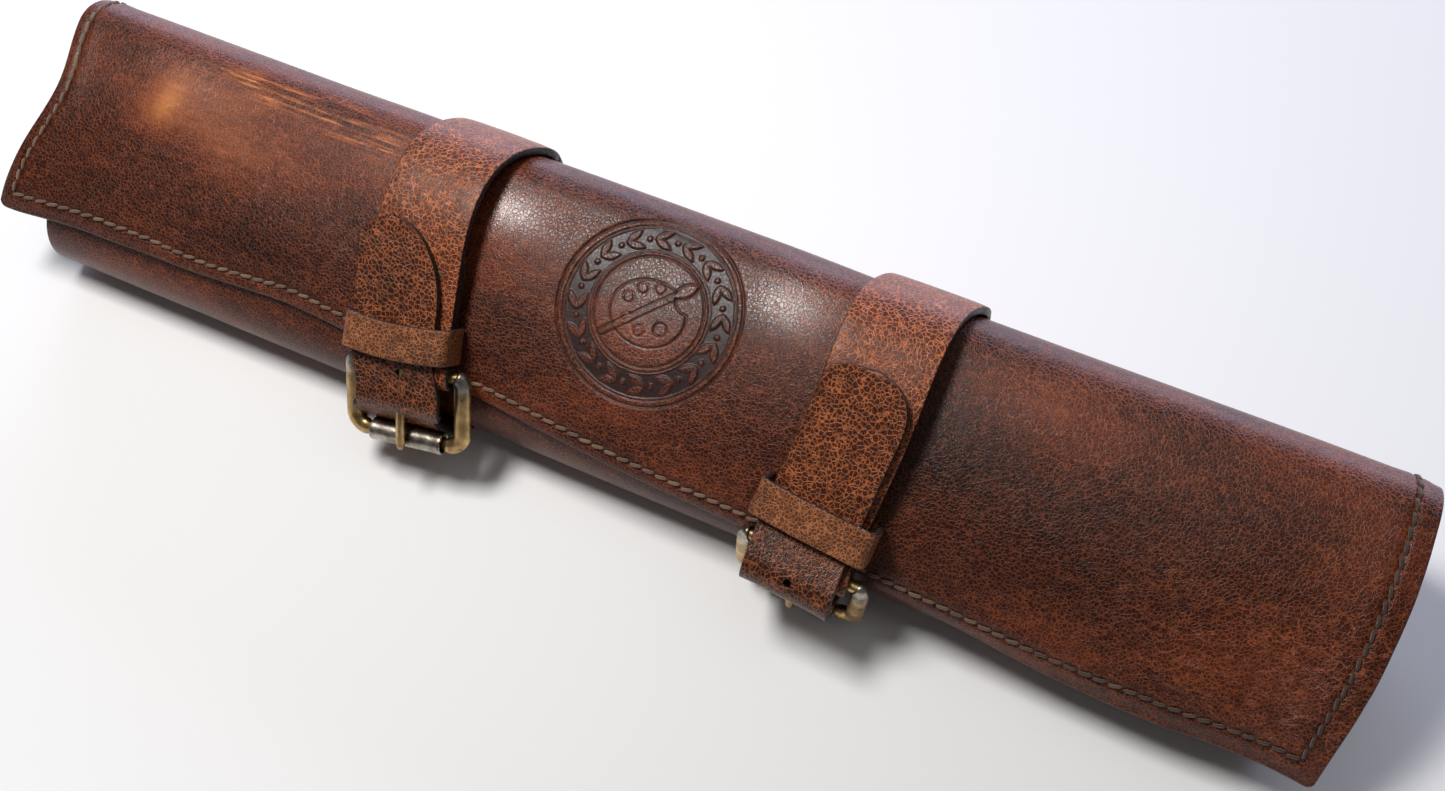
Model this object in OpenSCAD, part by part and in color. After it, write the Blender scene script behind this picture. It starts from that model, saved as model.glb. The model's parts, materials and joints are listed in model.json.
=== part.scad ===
// A leather brush roll case, rolled up and held by two buckled belts.
// X runs along the roll, -Y is the front with the buckles, +Z is up. The case lies on Z = 0.

/* [Roll] */
// Length of the flap along the roll
case_length = 380; // [300:1:420]
// Height of the roll at its crest
roll_height = 59; // [57:0.5:62]
// Radius of the rounded crest at the top rear
crest_radius = 12.7; // [12.4:0.1:14]
// Radius of the wide, nearly flat front face
face_radius = 95.7; // [90:0.1:110]
// Radius of the toe, where the front face turns under
toe_radius = 16.2; // [15:0.1:17]
// Radius of the heel, where the back turns under
heel_radius = 22; // [16:1:23]
// How much shorter the rolled body is than the flap, at each end of its front
body_inset = 13; // [6:1:16]

/* [Leather] */
// Thickness of the outer leather
leather = 1.6; // [1.4:0.1:1.7]
// Thickness of the suede lining
suede = 1.2; // [0.8:0.1:1.2]
// Thickness of the pocket panel and of the tip guard
pocket_sheet = 1.2; // [0.8:0.1:1.4]
// Thickness of the sewing thread where it lies on the leather
thread = 0.35; // [0.2:0.05:0.4]
// Distance of the seam from the flap's edges
seam_margin = 5; // [4:0.5:7]

/* [Belts] */
// Width of both belts
belt_width = 25; // [24:0.5:26]
// Thickness of the belt leather
belt_leather = 2.2; // [2.1:0.05:2.25]
// Length of each keeper along the belt
keeper_length = 9; // [8:0.5:10]
// Thickness of the keeper leather
keeper_leather = 1.4; // [1.2:0.1:1.4]

/* [Buckles] */
// Diameter of the buckle frame's wire
frame_wire = 4; // [3.6:0.1:4.2]
// Clear width inside the buckle frame
frame_inside = 27; // [26.5:0.5:29]
// Distance from the heel bar to the roller bar
frame_reach = 20; // [19:0.5:21]
// Diameter of the heel bar
heel_bar = 3; // [2.6:0.1:3.2]
// Outside diameter of the roller
roller_size = 6; // [5.6:0.1:6]
// Diameter of the prong
prong_size = 2.6; // [2.2:0.1:2.8]

/* [Medallion] */
// Diameter of the pressed emblem
emblem_size = 50; // [40:1:56]

/* [Hidden] */
$fn = 48;
slack = 0.2;                 // gap between two layers of the roll
running = 0.05;              // radial clearance of a turning fit
section_shift = 4.23;        // moves the roll back, so that the origin is the middle of the overall depth
arc_step = 3;                // degrees between two points of an outline
seat = 0.06;                 // clearance between two sewn layers, and under a thread
hinge_angle = 15;            // the flap turns here, low behind the crest
sheet = leather + suede;
pitch = sheet + slack;       // depth of one turn of the roll
ease_angle = 105;            // each turn goes one pitch deeper over this angle
roll_end_angle = -600;       // where the rolled sheet ends inside
pocket_angles = [-590, -362];
guard_angles = [-560, -400];
pocket_x = [-170, 40];
guard_x = [88, 172];
half = case_length / 2;

// The outline of the closed flap, as arcs: [centre, radius, from, to], by the direction of the
// outward normal, from the bottom (-90) up the back, over the crest and down the front (270).
heel_centre = [16, heel_radius];
crest_centre = [19.5, roll_height - crest_radius];
toe_centre = [-19.4, toe_radius];
face_centre = touching_circle(
    crest_centre, face_radius - crest_radius, toe_centre, face_radius - toe_radius);
back_tangent = direction(crest_centre - heel_centre)
    - acos((heel_radius - crest_radius) / norm(crest_centre - heel_centre));
face_start = direction(crest_centre - face_centre);
face_end = direction(toe_centre - face_centre);
ARCS = [
    [heel_centre, heel_radius, -90, back_tangent],
    [crest_centre, crest_radius, back_tangent, face_start],
    [face_centre, face_radius, face_start, face_end],
    [toe_centre, toe_radius, face_end, 270]
];

// Flap: the height of its lower edge falls from the left end to the right end
edge_middle = 25.6;
edge_slope = -10.4;
edge_bend = -7.9;
flap_end_angle = 222;
seam_drop = 0.86;            // a millimetre along the lower face is this much height
emblem_angle = 118;
emblem_depth = 0.5;
emblem_reach = 50;           // degrees of the outline on each side that the emblem stays within

// Belt section, measured from the heel bar: w up along the belt, v outward
loop_radius = heel_bar / 2 + running + belt_leather / 2;
top_v = 0.7;                           // middle of the belt's upper layer in the straight stretch
ply_gap = 0.1;
return_v = top_v - belt_leather - ply_gap;
tail_v = top_v + belt_leather + ply_gap;
ply_start = 5;                         // where the two layers lie flat on each other
ply_end = 30;                          // where the folded end of the belt stops
fold_rows = [20, 26];                  // the two seams that close the fold
stand_off = 4.85;                      // heel bar's line above the flap, where it runs parallel
keeper_under = 0.6;                    // clearance inside the keeper, under and over the three layers
keeper_over = 1.4;
keeper_side = 4;                       // the keeper is this much wider inside than the belt
base_gap = pitch - belt_leather;       // belt above the leather, so that its underside lies on Z = 0
base_end_angle = -118;
crest_leave_angle = 48;                // from here on the belt stands off the crest
crest_pull = 0.42;                     // how far it stands off, as a part of the span it bridges
tip_cut = 9;                           // length of the pointed end of the tail
hinge_gap = 0.2;
roller_gap = 0.6;
bar_under_roller = frame_wire - 0.8;
prong_slot = 6;
prong_clear = 0.45;                    // room round the prong where it goes through the tail
hole_size = 2.4;
frame_corner = 4;
thread_width = 0.8;

// One row per belt. The first three are X: at the crest, at the buckle and under the toe.
CREST_X = 0;
BUCKLE_X = 1;
FOOT_X = 2;
PLACE = 3;        // direction of the face where the belt's straight stretch is parallel to it
DROP = 4;         // from there down to the heel bar
SKEW = 5;         // turn of the straight stretch about its outward direction
HANG = 6;         // turn of the buckle below the straight stretch
KEEP = 7;         // from the heel bar up to the keeper
REACH = 8;        // length of the tail above the keeper
LEAVE = 9;        // direction of the toe where the tail leaves the case
BULGE = 10;       // w and v of the tail's bend over the heel bar
LEFT = [-61.5, -55, -53, 131, 14, 9, 18, 3.5, 26, -132, [-1.5, 6.2]];
RIGHT = [62, 59.6, 58.5, 132, 19.5, -5, 52, 6.7, 35, -138, [-7, 8.5]];

// ---- outline and paths -------------------------------------------------------------------------

function direction(p) = atan2(p[1], p[0]);
function unit(a) = [cos(a), sin(a)];
function ease(t) = let (s = min(max(t, 0), 1)) s * s * (3 - 2 * s);

// Centre of the circle that lies at distance ra from a and rb from b, behind the front face
function touching_circle(a, ra, b, rb) =
    let (gap = norm(b - a), e = (b - a) / gap, along = (ra * ra - rb * rb + gap * gap) / (2 * gap))
    a + e * along + [-e[1], e[0]] * sqrt(ra * ra - along * along);

// Depth of the rolled sheet's outer face below the outline, at an angle that falls turn by turn
function roll_depth(a) = pitch * (ease((hinge_angle - a) / ease_angle)
    + ease((hinge_angle - 360 - a) / ease_angle));

// Points [position, angle] of the outline between two angles. Every arc is cut at the same
// directions whatever the ends are, so that two layers on one line share their corners.
function outline(from, to) = [
    for (turn = [-2:1]) for (arc = ARCS)
        let (steps = ceil((arc[3] - arc[2]) / arc_step), step = (arc[3] - arc[2]) / steps)
        for (i = [0:steps - 1])
            let (a = max(from, arc[2] + 360 * turn + step * i), b = arc[2] + 360 * turn + step * (i + 1))
            if (a < min(b, to)) each [
                [arc[0] + arc[1] * unit(a), a],
                if (b >= to || i == steps - 1) [arc[0] + arc[1] * unit(min(b, to)), min(b, to)]
            ]
];

function on_arc(arc, a) = a >= arc[2] && a < arc[3];

// A point at a distance outside the outline
function outline_at(a, d) = [for (arc = ARCS) if (on_arc(arc, a)) arc[0] + (arc[1] + d) * unit(a)][0];

// Radius of the outline at a direction counted over any number of turns
function radius_at(a) =
    let (b = a - 360 * floor((a + 90) / 360)) [for (arc = ARCS) if (on_arc(arc, b)) arc[1]][0];

// A band that follows the outline, between two distances outside it, sunk by the roll's depth
function band(from, to, inner, outer) =
    let (line = outline(from, to))
    concat(
        [for (p = line) p[0] + (outer - roll_depth(p[1])) * unit(p[1])],
        [for (i = [len(line) - 1:-1:0]) line[i][0] + (inner - roll_depth(line[i][1])) * unit(line[i][1])]
    );

// The same on the flap, which lies on the outline itself
function flap_band(from, to, inner, outer) =
    let (line = outline(from, to))
    concat(
        [for (p = line) p[0] + outer * unit(p[1])],
        [for (i = [len(line) - 1:-1:0]) line[i][0] + inner * unit(line[i][1])]
    );

function bezier(a, b, c, d, t) = let (s = 1 - t)
    s * s * s * a + 3 * s * s * t * b + 3 * s * t * t * c + t * t * t * d;

function turn_to(a, b) = let (t = b - a) t > 180 ? t - 360 : t < -180 ? t + 360 : t;

// A polyline with its inner corners rounded: rows of [point, radius]
function rounded(rows) = [
    for (i = [0:len(rows) - 1])
        let (p = rows[i][0], r = rows[i][1])
        if (r == 0) p
        else
            let (
                steps = 8,
                before = (rows[i - 1][0] - p) / norm(rows[i - 1][0] - p),
                after = (rows[i + 1][0] - p) / norm(rows[i + 1][0] - p),
                half_corner = acos(before * after) / 2,
                middle = (before + after) / norm(before + after),
                centre = p + middle * r / sin(half_corner),
                start = direction(p + before * r / tan(half_corner) - centre),
                sweep = turn_to(start, direction(p + after * r / tan(half_corner) - centre))
            )
            each [for (k = [0:steps]) centre + r * unit(start + sweep * k / steps)]
];

// ---- placing -----------------------------------------------------------------------------------

// Draws a section in Y and Z, and carries it along X from one place to another
module across(from, to) {
    translate([from, section_shift, 0]) rotate([90, 0, 90]) linear_extrude(to - from) children();
}

function in_section(x, p) = [x, p[0] + section_shift, p[1]];

// Slope of a belt's straight stretch, and its heel bar in the section
function slope(belt) = belt[PLACE] - 90;
function heel_point(belt) = outline_at(belt[PLACE], stand_off) - belt[DROP] * unit(slope(belt));

// The belt's own frame at its heel bar: x across the belt, w up the belt, v outward
function across_belt(belt) = let (up = unit(slope(belt)), turn = unit(belt[SKEW]))
    [turn[0], turn[1] * up[0], turn[1] * up[1]];
function up_belt(belt) = let (up = unit(slope(belt)), turn = unit(belt[SKEW]))
    [-turn[1], turn[0] * up[0], turn[0] * up[1]];
function out_of_belt(belt) = let (out = unit(belt[PLACE])) [0, out[0], out[1]];
function heel(belt) = in_section(belt[BUCKLE_X], heel_point(belt));
function in_belt(belt, p) = heel(belt) + p[0] * up_belt(belt) + p[1] * out_of_belt(belt);

// The same frame without the skew, at the middle of the belt's foot
function in_foot(belt, p) =
    in_section(belt[FOOT_X], heel_point(belt) + p[0] * unit(slope(belt)) + p[1] * unit(belt[PLACE]));
function to_foot(belt, p) = let (q = p - heel_point(belt)) [q * unit(slope(belt)), q * unit(belt[PLACE])];

module at_heel(belt) {
    translate(heel(belt)) rotate([slope(belt), 0, 0]) rotate([0, 0, belt[SKEW]]) children();
}

// The buckle's frame: as above, turned down by the hang of the buckle
module at_buckle(belt) {
    at_heel(belt) rotate([belt[HANG], 0, 0]) children();
}

module bar_across(length, diameter) {
    translate([-length / 2, 0, 0]) rotate([0, 90, 0]) cylinder(h = length, d = diameter);
}

// A ribbon of even width and thickness along rows of [middle, direction across it]
module ribbon(rows, width, thickness) {
    last = len(rows) - 1;
    corners = [
        for (i = [0:last])
            let (
                middle = rows[i][0],
                along = rows[min(i + 1, last)][0] - rows[max(i - 1, 0)][0],
                side = rows[i][1] * width / 2,
                outward = cross(along, rows[i][1]),
                lift = outward / norm(outward) * thickness / 2
            )
            each [middle - side - lift, middle + side - lift, middle + side + lift, middle - side + lift]
    ];
    walls = [
        for (i = [0:last - 1]) for (k = [0:3])
            let (a = 4 * i + k, b = 4 * i + (k + 1) % 4)
            each [[a, b + 4, b], [a, a + 4, b + 4]]
    ];
    end = 4 * last;
    ends = [[0, 1, 2], [0, 2, 3], [end, end + 2, end + 1], [end, end + 3, end + 2]];
    polyhedron(corners, concat(ends, walls));
}

// ---- rolled body -------------------------------------------------------------------------------

// The rolled sheet is as wide as the flap at the back, and narrower at the front
module body_ends() {
    back = 45;
    front = -40;
    linear_extrude(roll_height + 10)
        polygon([[-half, back], [half, back], [half - body_inset, front], [-half + body_inset, front]]);
}

module rolled_layer(from, to, inner, outer) {
    intersection() {
        across(-half, half) polygon(band(from, to, inner, outer));
        body_ends();
    }
}

module roll_leather() {
    color("#5a2c1a") rolled_layer(roll_end_angle, hinge_angle, -leather, 0);
}

module roll_lining() {
    color("#8a7360") rolled_layer(roll_end_angle, hinge_angle, -sheet, -leather);
}

module pocket_panel() {
    color("#7b4a2c") across(pocket_x[0], pocket_x[1])
        polygon(band(pocket_angles[0], pocket_angles[1], -sheet - seat - pocket_sheet, -sheet - seat));
}

module tip_guard() {
    color("#8a7360") across(guard_x[0], guard_x[1])
        polygon(band(guard_angles[0], guard_angles[1], -sheet - seat - pocket_sheet, -sheet - seat));
}

// Rows of thread along the pocket panel make its pockets
module pocket_stitching() {
    rows = 8;
    end_margin = 6;
    top_margin = 4;
    panel_face = -sheet - seat - pocket_sheet;
    first = pocket_angles[0] + end_margin;
    last = pocket_angles[1] - end_margin;
    color("#c9a57c") for (i = [0:rows - 1])
        let (
            a = first + (last - first) * i / (rows - 1),
            half_seam = thread_width / 2 / radius_at(a) * 180 / PI
        )
        across(pocket_x[0] + top_margin, pocket_x[1] - top_margin)
            polygon(band(a - half_seam, a + half_seam, panel_face - seat - thread, panel_face - seat));
}

// ---- flap --------------------------------------------------------------------------------------

function edge_height(x) = let (t = x / half) edge_middle + edge_slope * t + edge_bend * t * t;

// Everything above the flap's lower edge and inside its two ends, drawn in by a margin
module flap_region(margin) {
    steps = 24;
    side = half - margin;
    above = roll_height + 20;
    depth = 120;
    low_edge = [for (i = [0:steps]) let (x = -side + 2 * side * i / steps)
        [x, edge_height(x) + margin * seam_drop]];
    translate([0, depth / 2, 0]) rotate([90, 0, 0]) linear_extrude(depth)
        polygon(concat(low_edge, [[side, above], [-side, above]]));
}

module flap_layer(inner, outer) {
    intersection() {
        across(-half, half) polygon(flap_band(hinge_angle, flap_end_angle, inner, outer));
        flap_region(0);
    }
}

// Two pressed rings on the front face
module emblem_rings() {
    middle = outline_at(emblem_angle, 0);
    groove = 0.9;
    tall = 12;
    translate([0, section_shift + middle[0], middle[1]]) rotate([emblem_angle - 90, 0, 0])
        for (size = [emblem_size, emblem_size * 0.6])
            difference() {
                translate([0, 0, -tall / 2]) cylinder(h = tall, d = size);
                translate([0, 0, -tall]) cylinder(h = 2 * tall, d = size - 2 * groove);
            }
}

module flap_leather() {
    color("#7a3f20") difference() {
        flap_layer(-leather, 0);
        intersection() {
            across(-emblem_size, emblem_size)
                polygon(flap_band(emblem_angle - emblem_reach, emblem_angle + emblem_reach, -emblem_depth, 1));
            emblem_rings();
        }
    }
}

module flap_lining() {
    color("#8a7360") flap_layer(-sheet, -leather);
}

module flap_stitching() {
    color("#b98a5c") intersection() {
        across(-half, half) polygon(flap_band(hinge_angle, flap_end_angle, seat, seat + thread));
        difference() {
            flap_region(seam_margin);
            flap_region(seam_margin + thread_width);
        }
    }
}

// ---- belts -------------------------------------------------------------------------------------

// The part under the case runs aside from the crest's place to the foot's
function base_x(belt, y) =
    let (back = 30, front = -20, t = min(max((back - y) / (back - front), 0), 1))
    belt[CREST_X] + (belt[FOOT_X] - belt[CREST_X]) * t;

// Middle of the belt's thickness where it follows the rolled body
function belt_line(from, to) = [
    for (p = outline(from, to)) p[0] + (base_gap + belt_leather / 2 - roll_depth(p[1])) * unit(p[1])
];

// The belt behind and under the case, sewn to the back
module belt_base(belt) {
    rows = [
        for (p = belt_line(base_end_angle, hinge_angle - hinge_gap))
            [in_section(base_x(belt, p[0]), p), [1, 0, 0]]
    ];
    color("#6b3a20") ribbon(rows, belt_width, belt_leather);
}

// A box of thread that holds the belt to the straight back of the roll
module anchor_stitching(belt) {
    low = 24;
    high = 36;
    side = belt_width / 2 - 4;
    depth = 100;
    outside = base_gap + belt_leather + seat;
    color("#b98a5c") intersection() {
        across(belt[CREST_X] - side, belt[CREST_X] + side)
            polygon(band(base_end_angle, hinge_angle - hinge_gap, outside, outside + thread));
        translate([belt[CREST_X], 0, 0]) difference() {
            translate([-belt_width, 0, low]) cube([2 * belt_width, depth, high - low]);
            translate([-side + thread_width, -1, low + thread_width])
                cube([2 * (side - thread_width), depth + 2, high - low - 2 * thread_width]);
        }
    }
}

// The end of the belt round the heel bar and back under itself, in w and v
function fold_path() =
    let (
        upper = [ply_start, top_v],
        lower = [ply_start, return_v],
        from = direction(upper) + acos(loop_radius / norm(upper)),
        to = 360 + direction(lower) - acos(loop_radius / norm(lower)),
        steps = 14
    )
    concat(
        [upper],
        [for (i = [0:steps]) loop_radius * unit(from + (to - from) * i / steps)],
        [lower, [ply_end, return_v]]
    );

// From behind the crest, off the face and down to the buckle, where it turns from the crest's
// direction to the skewed one
module belt_top(belt) {
    crest = [
        for (p = belt_line(hinge_angle + hinge_gap, crest_leave_angle)) in_section(belt[CREST_X], p)
    ];
    leave = crest[len(crest) - 1];
    arrive = in_belt(belt, [ply_end, top_v]);
    pull = norm(arrive - leave) * crest_pull;
    forward = unit(crest_leave_angle + 90);
    steps = 18;
    rows = concat(
        [for (p = crest) [p, [1, 0, 0]]],
        [
            for (i = [1:steps])
                let (
                    t = i / steps,
                    aside = [1, 0, 0] * (1 - ease(t)) + across_belt(belt) * ease(t),
                    middle = bezier(leave, leave + pull * [0, forward[0], forward[1]],
                        arrive + pull * up_belt(belt), arrive, t)
                )
                [middle, aside / norm(aside)]
        ],
        [for (p = fold_path()) [in_belt(belt, p), across_belt(belt)]]
    );
    color("#7a4424") difference() {
        ribbon(rows, belt_width, belt_leather);
        at_heel(belt) {
            translate([-prong_slot / 2, -prong_slot, -prong_slot])
                cube([prong_slot, prong_slot + ply_start - 1.5, 2 * prong_slot]);
            fold_thread_rows();
        }
    }
}

// The two rows of thread that close the fold, each in its own groove
module fold_thread_rows() {
    inset = 3;
    for (w = fold_rows)
        translate([-belt_width / 2 + inset, w, top_v + belt_leather / 2 - thread])
            cube([belt_width - 2 * inset, thread_width, thread]);
}

module fold_stitching(belt) {
    color("#b98a5c") at_heel(belt) fold_thread_rows();
}

module rounded_bar(width, low, high, corner) {
    translate([-width / 2 + corner, low]) square([width - 2 * corner, high - low]);
    translate([-width / 2, low + corner]) square([width, high - low - 2 * corner]);
    for (x = [-1, 1]) for (z = [low + corner, high - corner])
        translate([x * (width / 2 - corner), z]) circle(r = corner);
}

// A flat loop of leather round the belt and its tail
module keeper(belt) {
    inside = belt_width + keeper_side;
    low = return_v - belt_leather / 2 - keeper_under;
    high = tail_v + belt_leather / 2 + keeper_over;
    inner_corner = 0.9;
    color("#8a5530") at_heel(belt) translate([0, belt[KEEP] + keeper_length, 0]) rotate([90, 0, 0])
        linear_extrude(keeper_length) difference() {
            rounded_bar(inside + 2 * keeper_leather, low - keeper_leather, high + keeper_leather,
                inner_corner + keeper_leather);
            rounded_bar(inside, low, high, inner_corner);
        }
}

// ---- buckle ------------------------------------------------------------------------------------

// A rectangle of round wire: the heel bar that carries it, two arms, and the bar under the roller
module buckle_frame(belt) {
    arm = frame_inside / 2 + frame_wire / 2;
    straight = frame_reach - frame_corner;
    color("#9a7a3c") at_buckle(belt) {
        bar_across(frame_inside + frame_wire, heel_bar);
        for (side = [-1, 1]) {
            translate([side * arm, 0, 0]) sphere(d = frame_wire);
            translate([side * arm, 0, 0]) rotate([90, 0, 0]) cylinder(h = straight, d = frame_wire);
            translate([side * (arm - frame_corner), -straight, 0])
                rotate([0, 0, side > 0 ? 270 : 180])
                    rotate_extrude(angle = 90) translate([frame_corner, 0]) circle(d = frame_wire);
        }
        translate([0, -frame_reach, 0])
            bar_across(frame_inside - 2 * frame_corner + frame_wire + 1, bar_under_roller);
    }
}

// The tube that turns on the front bar
module roller(belt) {
    length = frame_inside - 2 * frame_corner - 2 * roller_gap + frame_wire;
    color("#a8874a") at_buckle(belt) translate([0, -frame_reach, 0]) difference() {
        bar_across(length, roller_size);
        bar_across(length + 1, bar_under_roller + 2 * running);
    }
}

// Angle by which the prong stands off the frame to lie on the roller
prong_rise = asin((roller_size / 2 + prong_size / 2 + running) / frame_reach);

module prong_shank(size) {
    tip_overhang = 1.5;
    rotate([90 - prong_rise, 0, 0]) {
        cylinder(h = frame_reach + tip_overhang, d = size);
        translate([0, 0, frame_reach + tip_overhang]) sphere(d = size);
    }
}

module prong(belt) {
    eye_wall = 1.4;
    color("#8f7440") at_buckle(belt) difference() {
        union() {
            prong_shank(prong_size);
            bar_across(prong_slot - 1.4, heel_bar + 2 * eye_wall);
        }
        bar_across(prong_slot, heel_bar + 2 * running);
    }
}

// ---- tail --------------------------------------------------------------------------------------

function tip_of_tail(belt) = belt[KEEP] + keeper_length + belt[REACH];

// From under the case, behind the roller, out through the frame, over the heel bar and up
module belt_tail(belt) {
    hang = unit(belt[HANG]);
    roller_room = roller_size / 2 + belt_leather / 2 + slack + running;
    behind = -(frame_reach - 1) * hang - roller_room * [-hang[1], hang[0]];
    toe = [for (p = belt_line(belt[LEAVE], base_end_angle - 1)) to_foot(belt, p)];
    path = concat(
        [for (i = [len(toe) - 1:-1:1]) toe[i]],
        rounded([
            [toe[0], 0], [behind, 3], [belt[BULGE], 4.5], [[ply_start + 1.5, tail_v], 5],
            [[tip_of_tail(belt), tail_v], 0]
        ])
    );
    low = toe[0][1];
    rows = [
        for (p = path)
            let (
                t = ease((p[1] - low) / (behind[1] - low)),
                aside = [1, 0, 0] * (1 - t) + across_belt(belt) * t
            )
            [in_foot(belt, p) * (1 - t) + in_belt(belt, p) * t, aside / norm(aside)]
    ];
    tall = 80;
    color("#7a4424") difference() {
        intersection() {
            ribbon(rows, belt_width, belt_leather);
            at_heel(belt) translate([0, 0, -tall / 2]) linear_extrude(tall) tail_outline(tip_of_tail(belt));
        }
        at_buckle(belt) prong_shank(prong_size + 2 * prong_clear);
        at_heel(belt) translate([0, -1, 0]) cylinder(h = tall / 4, d = hole_size);
    }
}

// The outline of the pointed, rounded end, seen from outside
module tail_outline(tip) {
    far = 90;
    nose = 5;
    side = belt_width;
    half_width = belt_width / 2;
    polygon([
        [-side, -far], [side, -far], [side, tip - tip_cut - 1], [half_width, tip - tip_cut - 1],
        [half_width, tip - tip_cut], [nose, tip - 0.8], [-nose, tip - 0.8], [-half_width, tip - tip_cut],
        [-half_width, tip - tip_cut - 1], [-side, tip - tip_cut - 1]
    ]);
}

roll_leather();
roll_lining();
pocket_panel();
pocket_stitching();
tip_guard();
flap_leather();
flap_lining();
flap_stitching();
belt_base(LEFT);  // left_belt_base
anchor_stitching(LEFT);  // left_anchor_stitching
belt_top(LEFT);  // left_belt_top
fold_stitching(LEFT);  // left_fold_stitching
keeper(LEFT);  // left_keeper
buckle_frame(LEFT);  // left_buckle_frame
roller(LEFT);  // left_roller
prong(LEFT);  // left_prong
belt_tail(LEFT);  // left_belt_tail
belt_base(RIGHT);  // right_belt_base
anchor_stitching(RIGHT);  // right_anchor_stitching
belt_top(RIGHT);  // right_belt_top
fold_stitching(RIGHT);  // right_fold_stitching
keeper(RIGHT);  // right_keeper
buckle_frame(RIGHT);  // right_buckle_frame
roller(RIGHT);  // right_roller
prong(RIGHT);  // right_prong
belt_tail(RIGHT);  // right_belt_tail
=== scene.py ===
import json
import math

import bpy
import numpy as np
from mathutils import Matrix, Vector

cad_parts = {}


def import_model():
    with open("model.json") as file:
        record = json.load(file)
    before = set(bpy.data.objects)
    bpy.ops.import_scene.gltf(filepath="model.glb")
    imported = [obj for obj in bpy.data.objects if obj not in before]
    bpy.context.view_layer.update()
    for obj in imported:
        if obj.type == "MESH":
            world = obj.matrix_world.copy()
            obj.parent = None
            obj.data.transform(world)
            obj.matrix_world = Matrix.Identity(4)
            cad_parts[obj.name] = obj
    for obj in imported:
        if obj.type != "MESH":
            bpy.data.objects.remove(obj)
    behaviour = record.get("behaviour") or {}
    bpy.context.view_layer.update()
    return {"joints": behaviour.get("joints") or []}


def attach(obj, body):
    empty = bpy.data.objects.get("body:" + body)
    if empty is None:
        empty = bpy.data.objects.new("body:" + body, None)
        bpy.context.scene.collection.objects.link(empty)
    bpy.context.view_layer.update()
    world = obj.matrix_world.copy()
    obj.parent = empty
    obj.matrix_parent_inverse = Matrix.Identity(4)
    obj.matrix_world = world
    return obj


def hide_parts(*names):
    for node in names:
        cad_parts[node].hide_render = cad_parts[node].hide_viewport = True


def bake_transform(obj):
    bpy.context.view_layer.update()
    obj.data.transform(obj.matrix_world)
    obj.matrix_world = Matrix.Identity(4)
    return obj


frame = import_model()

# A leather brush roll case with two buckled belts. Every CAD node is replaced by a finer mesh of the
# same piece. Lengths in this script are millimetres until a mesh is made, and angles are degrees.

# ---- sizes ---------------------------------------------------------------------------------------

# The rolled case. Its section is four arcs: the heel at the back, the crest, the face and the toe. A
# place on it is named by the direction of its outward normal, from -90 underneath round to 270.
# The roll leaves the flap's outline at HINGE_ANGLE and goes one PITCH deeper over EASE_ANGLE. The
# flap's mesh and the roll's meet on the back at SPLIT_HEIGHT.
HALF_LENGTH = 190.0
SECTION_SHIFT = 4.23
HEEL_CENTRE, HEEL_RADIUS = (16.0, 22.0), 22.0
CREST_CENTRE, CREST_RADIUS = (19.5, 46.3), 12.7
TOE_CENTRE, TOE_RADIUS = (-19.4, 16.2), 16.2
FACE_RADIUS = 95.7
LEATHER = 1.6
SUEDE = 1.2
POCKET_SHEET = 1.2
POCKET_GAP = 0.06
PITCH = LEATHER + SUEDE + 0.2
HINGE_ANGLE = 15.0
EASE_ANGLE = 105.0
SPLIT_HEIGHT = 34.0

# The flap: where and how it hangs away from the roll at the right end, its seam and its emblem
HANG_ANGLE = 141.0
HANG_RADIUS = 70.0
HANG_LIFT = 9.4
CORNER_RADIUS = 1.6
END_MARGINS = (3.4, 5.2)
STITCH_PITCH = 3.7
EMBLEM_ANGLE = 118.0
EMBLEM_RADIUS = 25.0
WREATH_RADIUS = 19.1

# Belts and keepers
BELT_WIDTH = 25.0
BELT_LEATHER = 2.2
TAIL_WIDTH = 23.2
BASE_GAP = PITCH - BELT_LEATHER
KEEPER_LENGTH = 9.0
KEEPER_LEATHER = 1.4

# Heights over the heel bar of the belt's upper ply, its folded ply and the tail, and where above the
# bar the two plies start to run straight and the folded one ends
TOP_V = 0.7
RETURN_V = -1.6
TAIL_V = 3.0
PLY_START = 5.0
PLY_END = 30.0

# Buckles
HEEL_BAR = 3.0
ARM_WIDTH = 4.7
FRAME_INSIDE = 27.0
FRAME_CORNER = 4.0
ROLLER_SIZE = 6.0
PRONG_SIZE = 2.6


# ---- arrays --------------------------------------------------------------------------------------

def ease(t):
    t = np.clip(t, 0, 1)
    return t * t * (3 - 2 * t)


def noise(u, v, seed):
    """Smooth random values between -1 and 1 over two arrays of coordinates, one cell per unit."""
    lattice = np.random.default_rng(seed).uniform(-1, 1, (64, 64))
    u, v = np.broadcast_arrays(np.asarray(u, float), np.asarray(v, float))
    i, j = np.floor(u).astype(int), np.floor(v).astype(int)
    fu, fv = ease(u - i), ease(v - j)
    low = lattice[i % 64, j % 64] * (1 - fu) + lattice[(i + 1) % 64, j % 64] * fu
    high = lattice[i % 64, (j + 1) % 64] * (1 - fu) + lattice[(i + 1) % 64, (j + 1) % 64] * fu
    return low * (1 - fv) + high * fv


def unit(vectors):
    vectors = np.asarray(vectors, float)
    return vectors / np.maximum(np.linalg.norm(vectors, axis=-1, keepdims=True), 1e-9)


def ray(angle):
    return np.stack([np.cos(np.radians(angle)), np.sin(np.radians(angle))], -1)


def steps(start, end, step):
    return np.linspace(start, end, max(2, int(math.ceil(abs(end - start) / step)) + 1))


def lengths(points):
    """Distance along a polyline at each of its points."""
    return np.concatenate([[0], np.cumsum(np.linalg.norm(np.diff(points, axis=0), axis=1))])


def resample(points, step):
    """The same polyline with points at even distances."""
    points = np.asarray(points, float)
    length = lengths(points)
    places = steps(0, length[-1], step)
    return np.stack([np.interp(places, length, points[:, k]) for k in range(points.shape[1])], -1)


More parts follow.
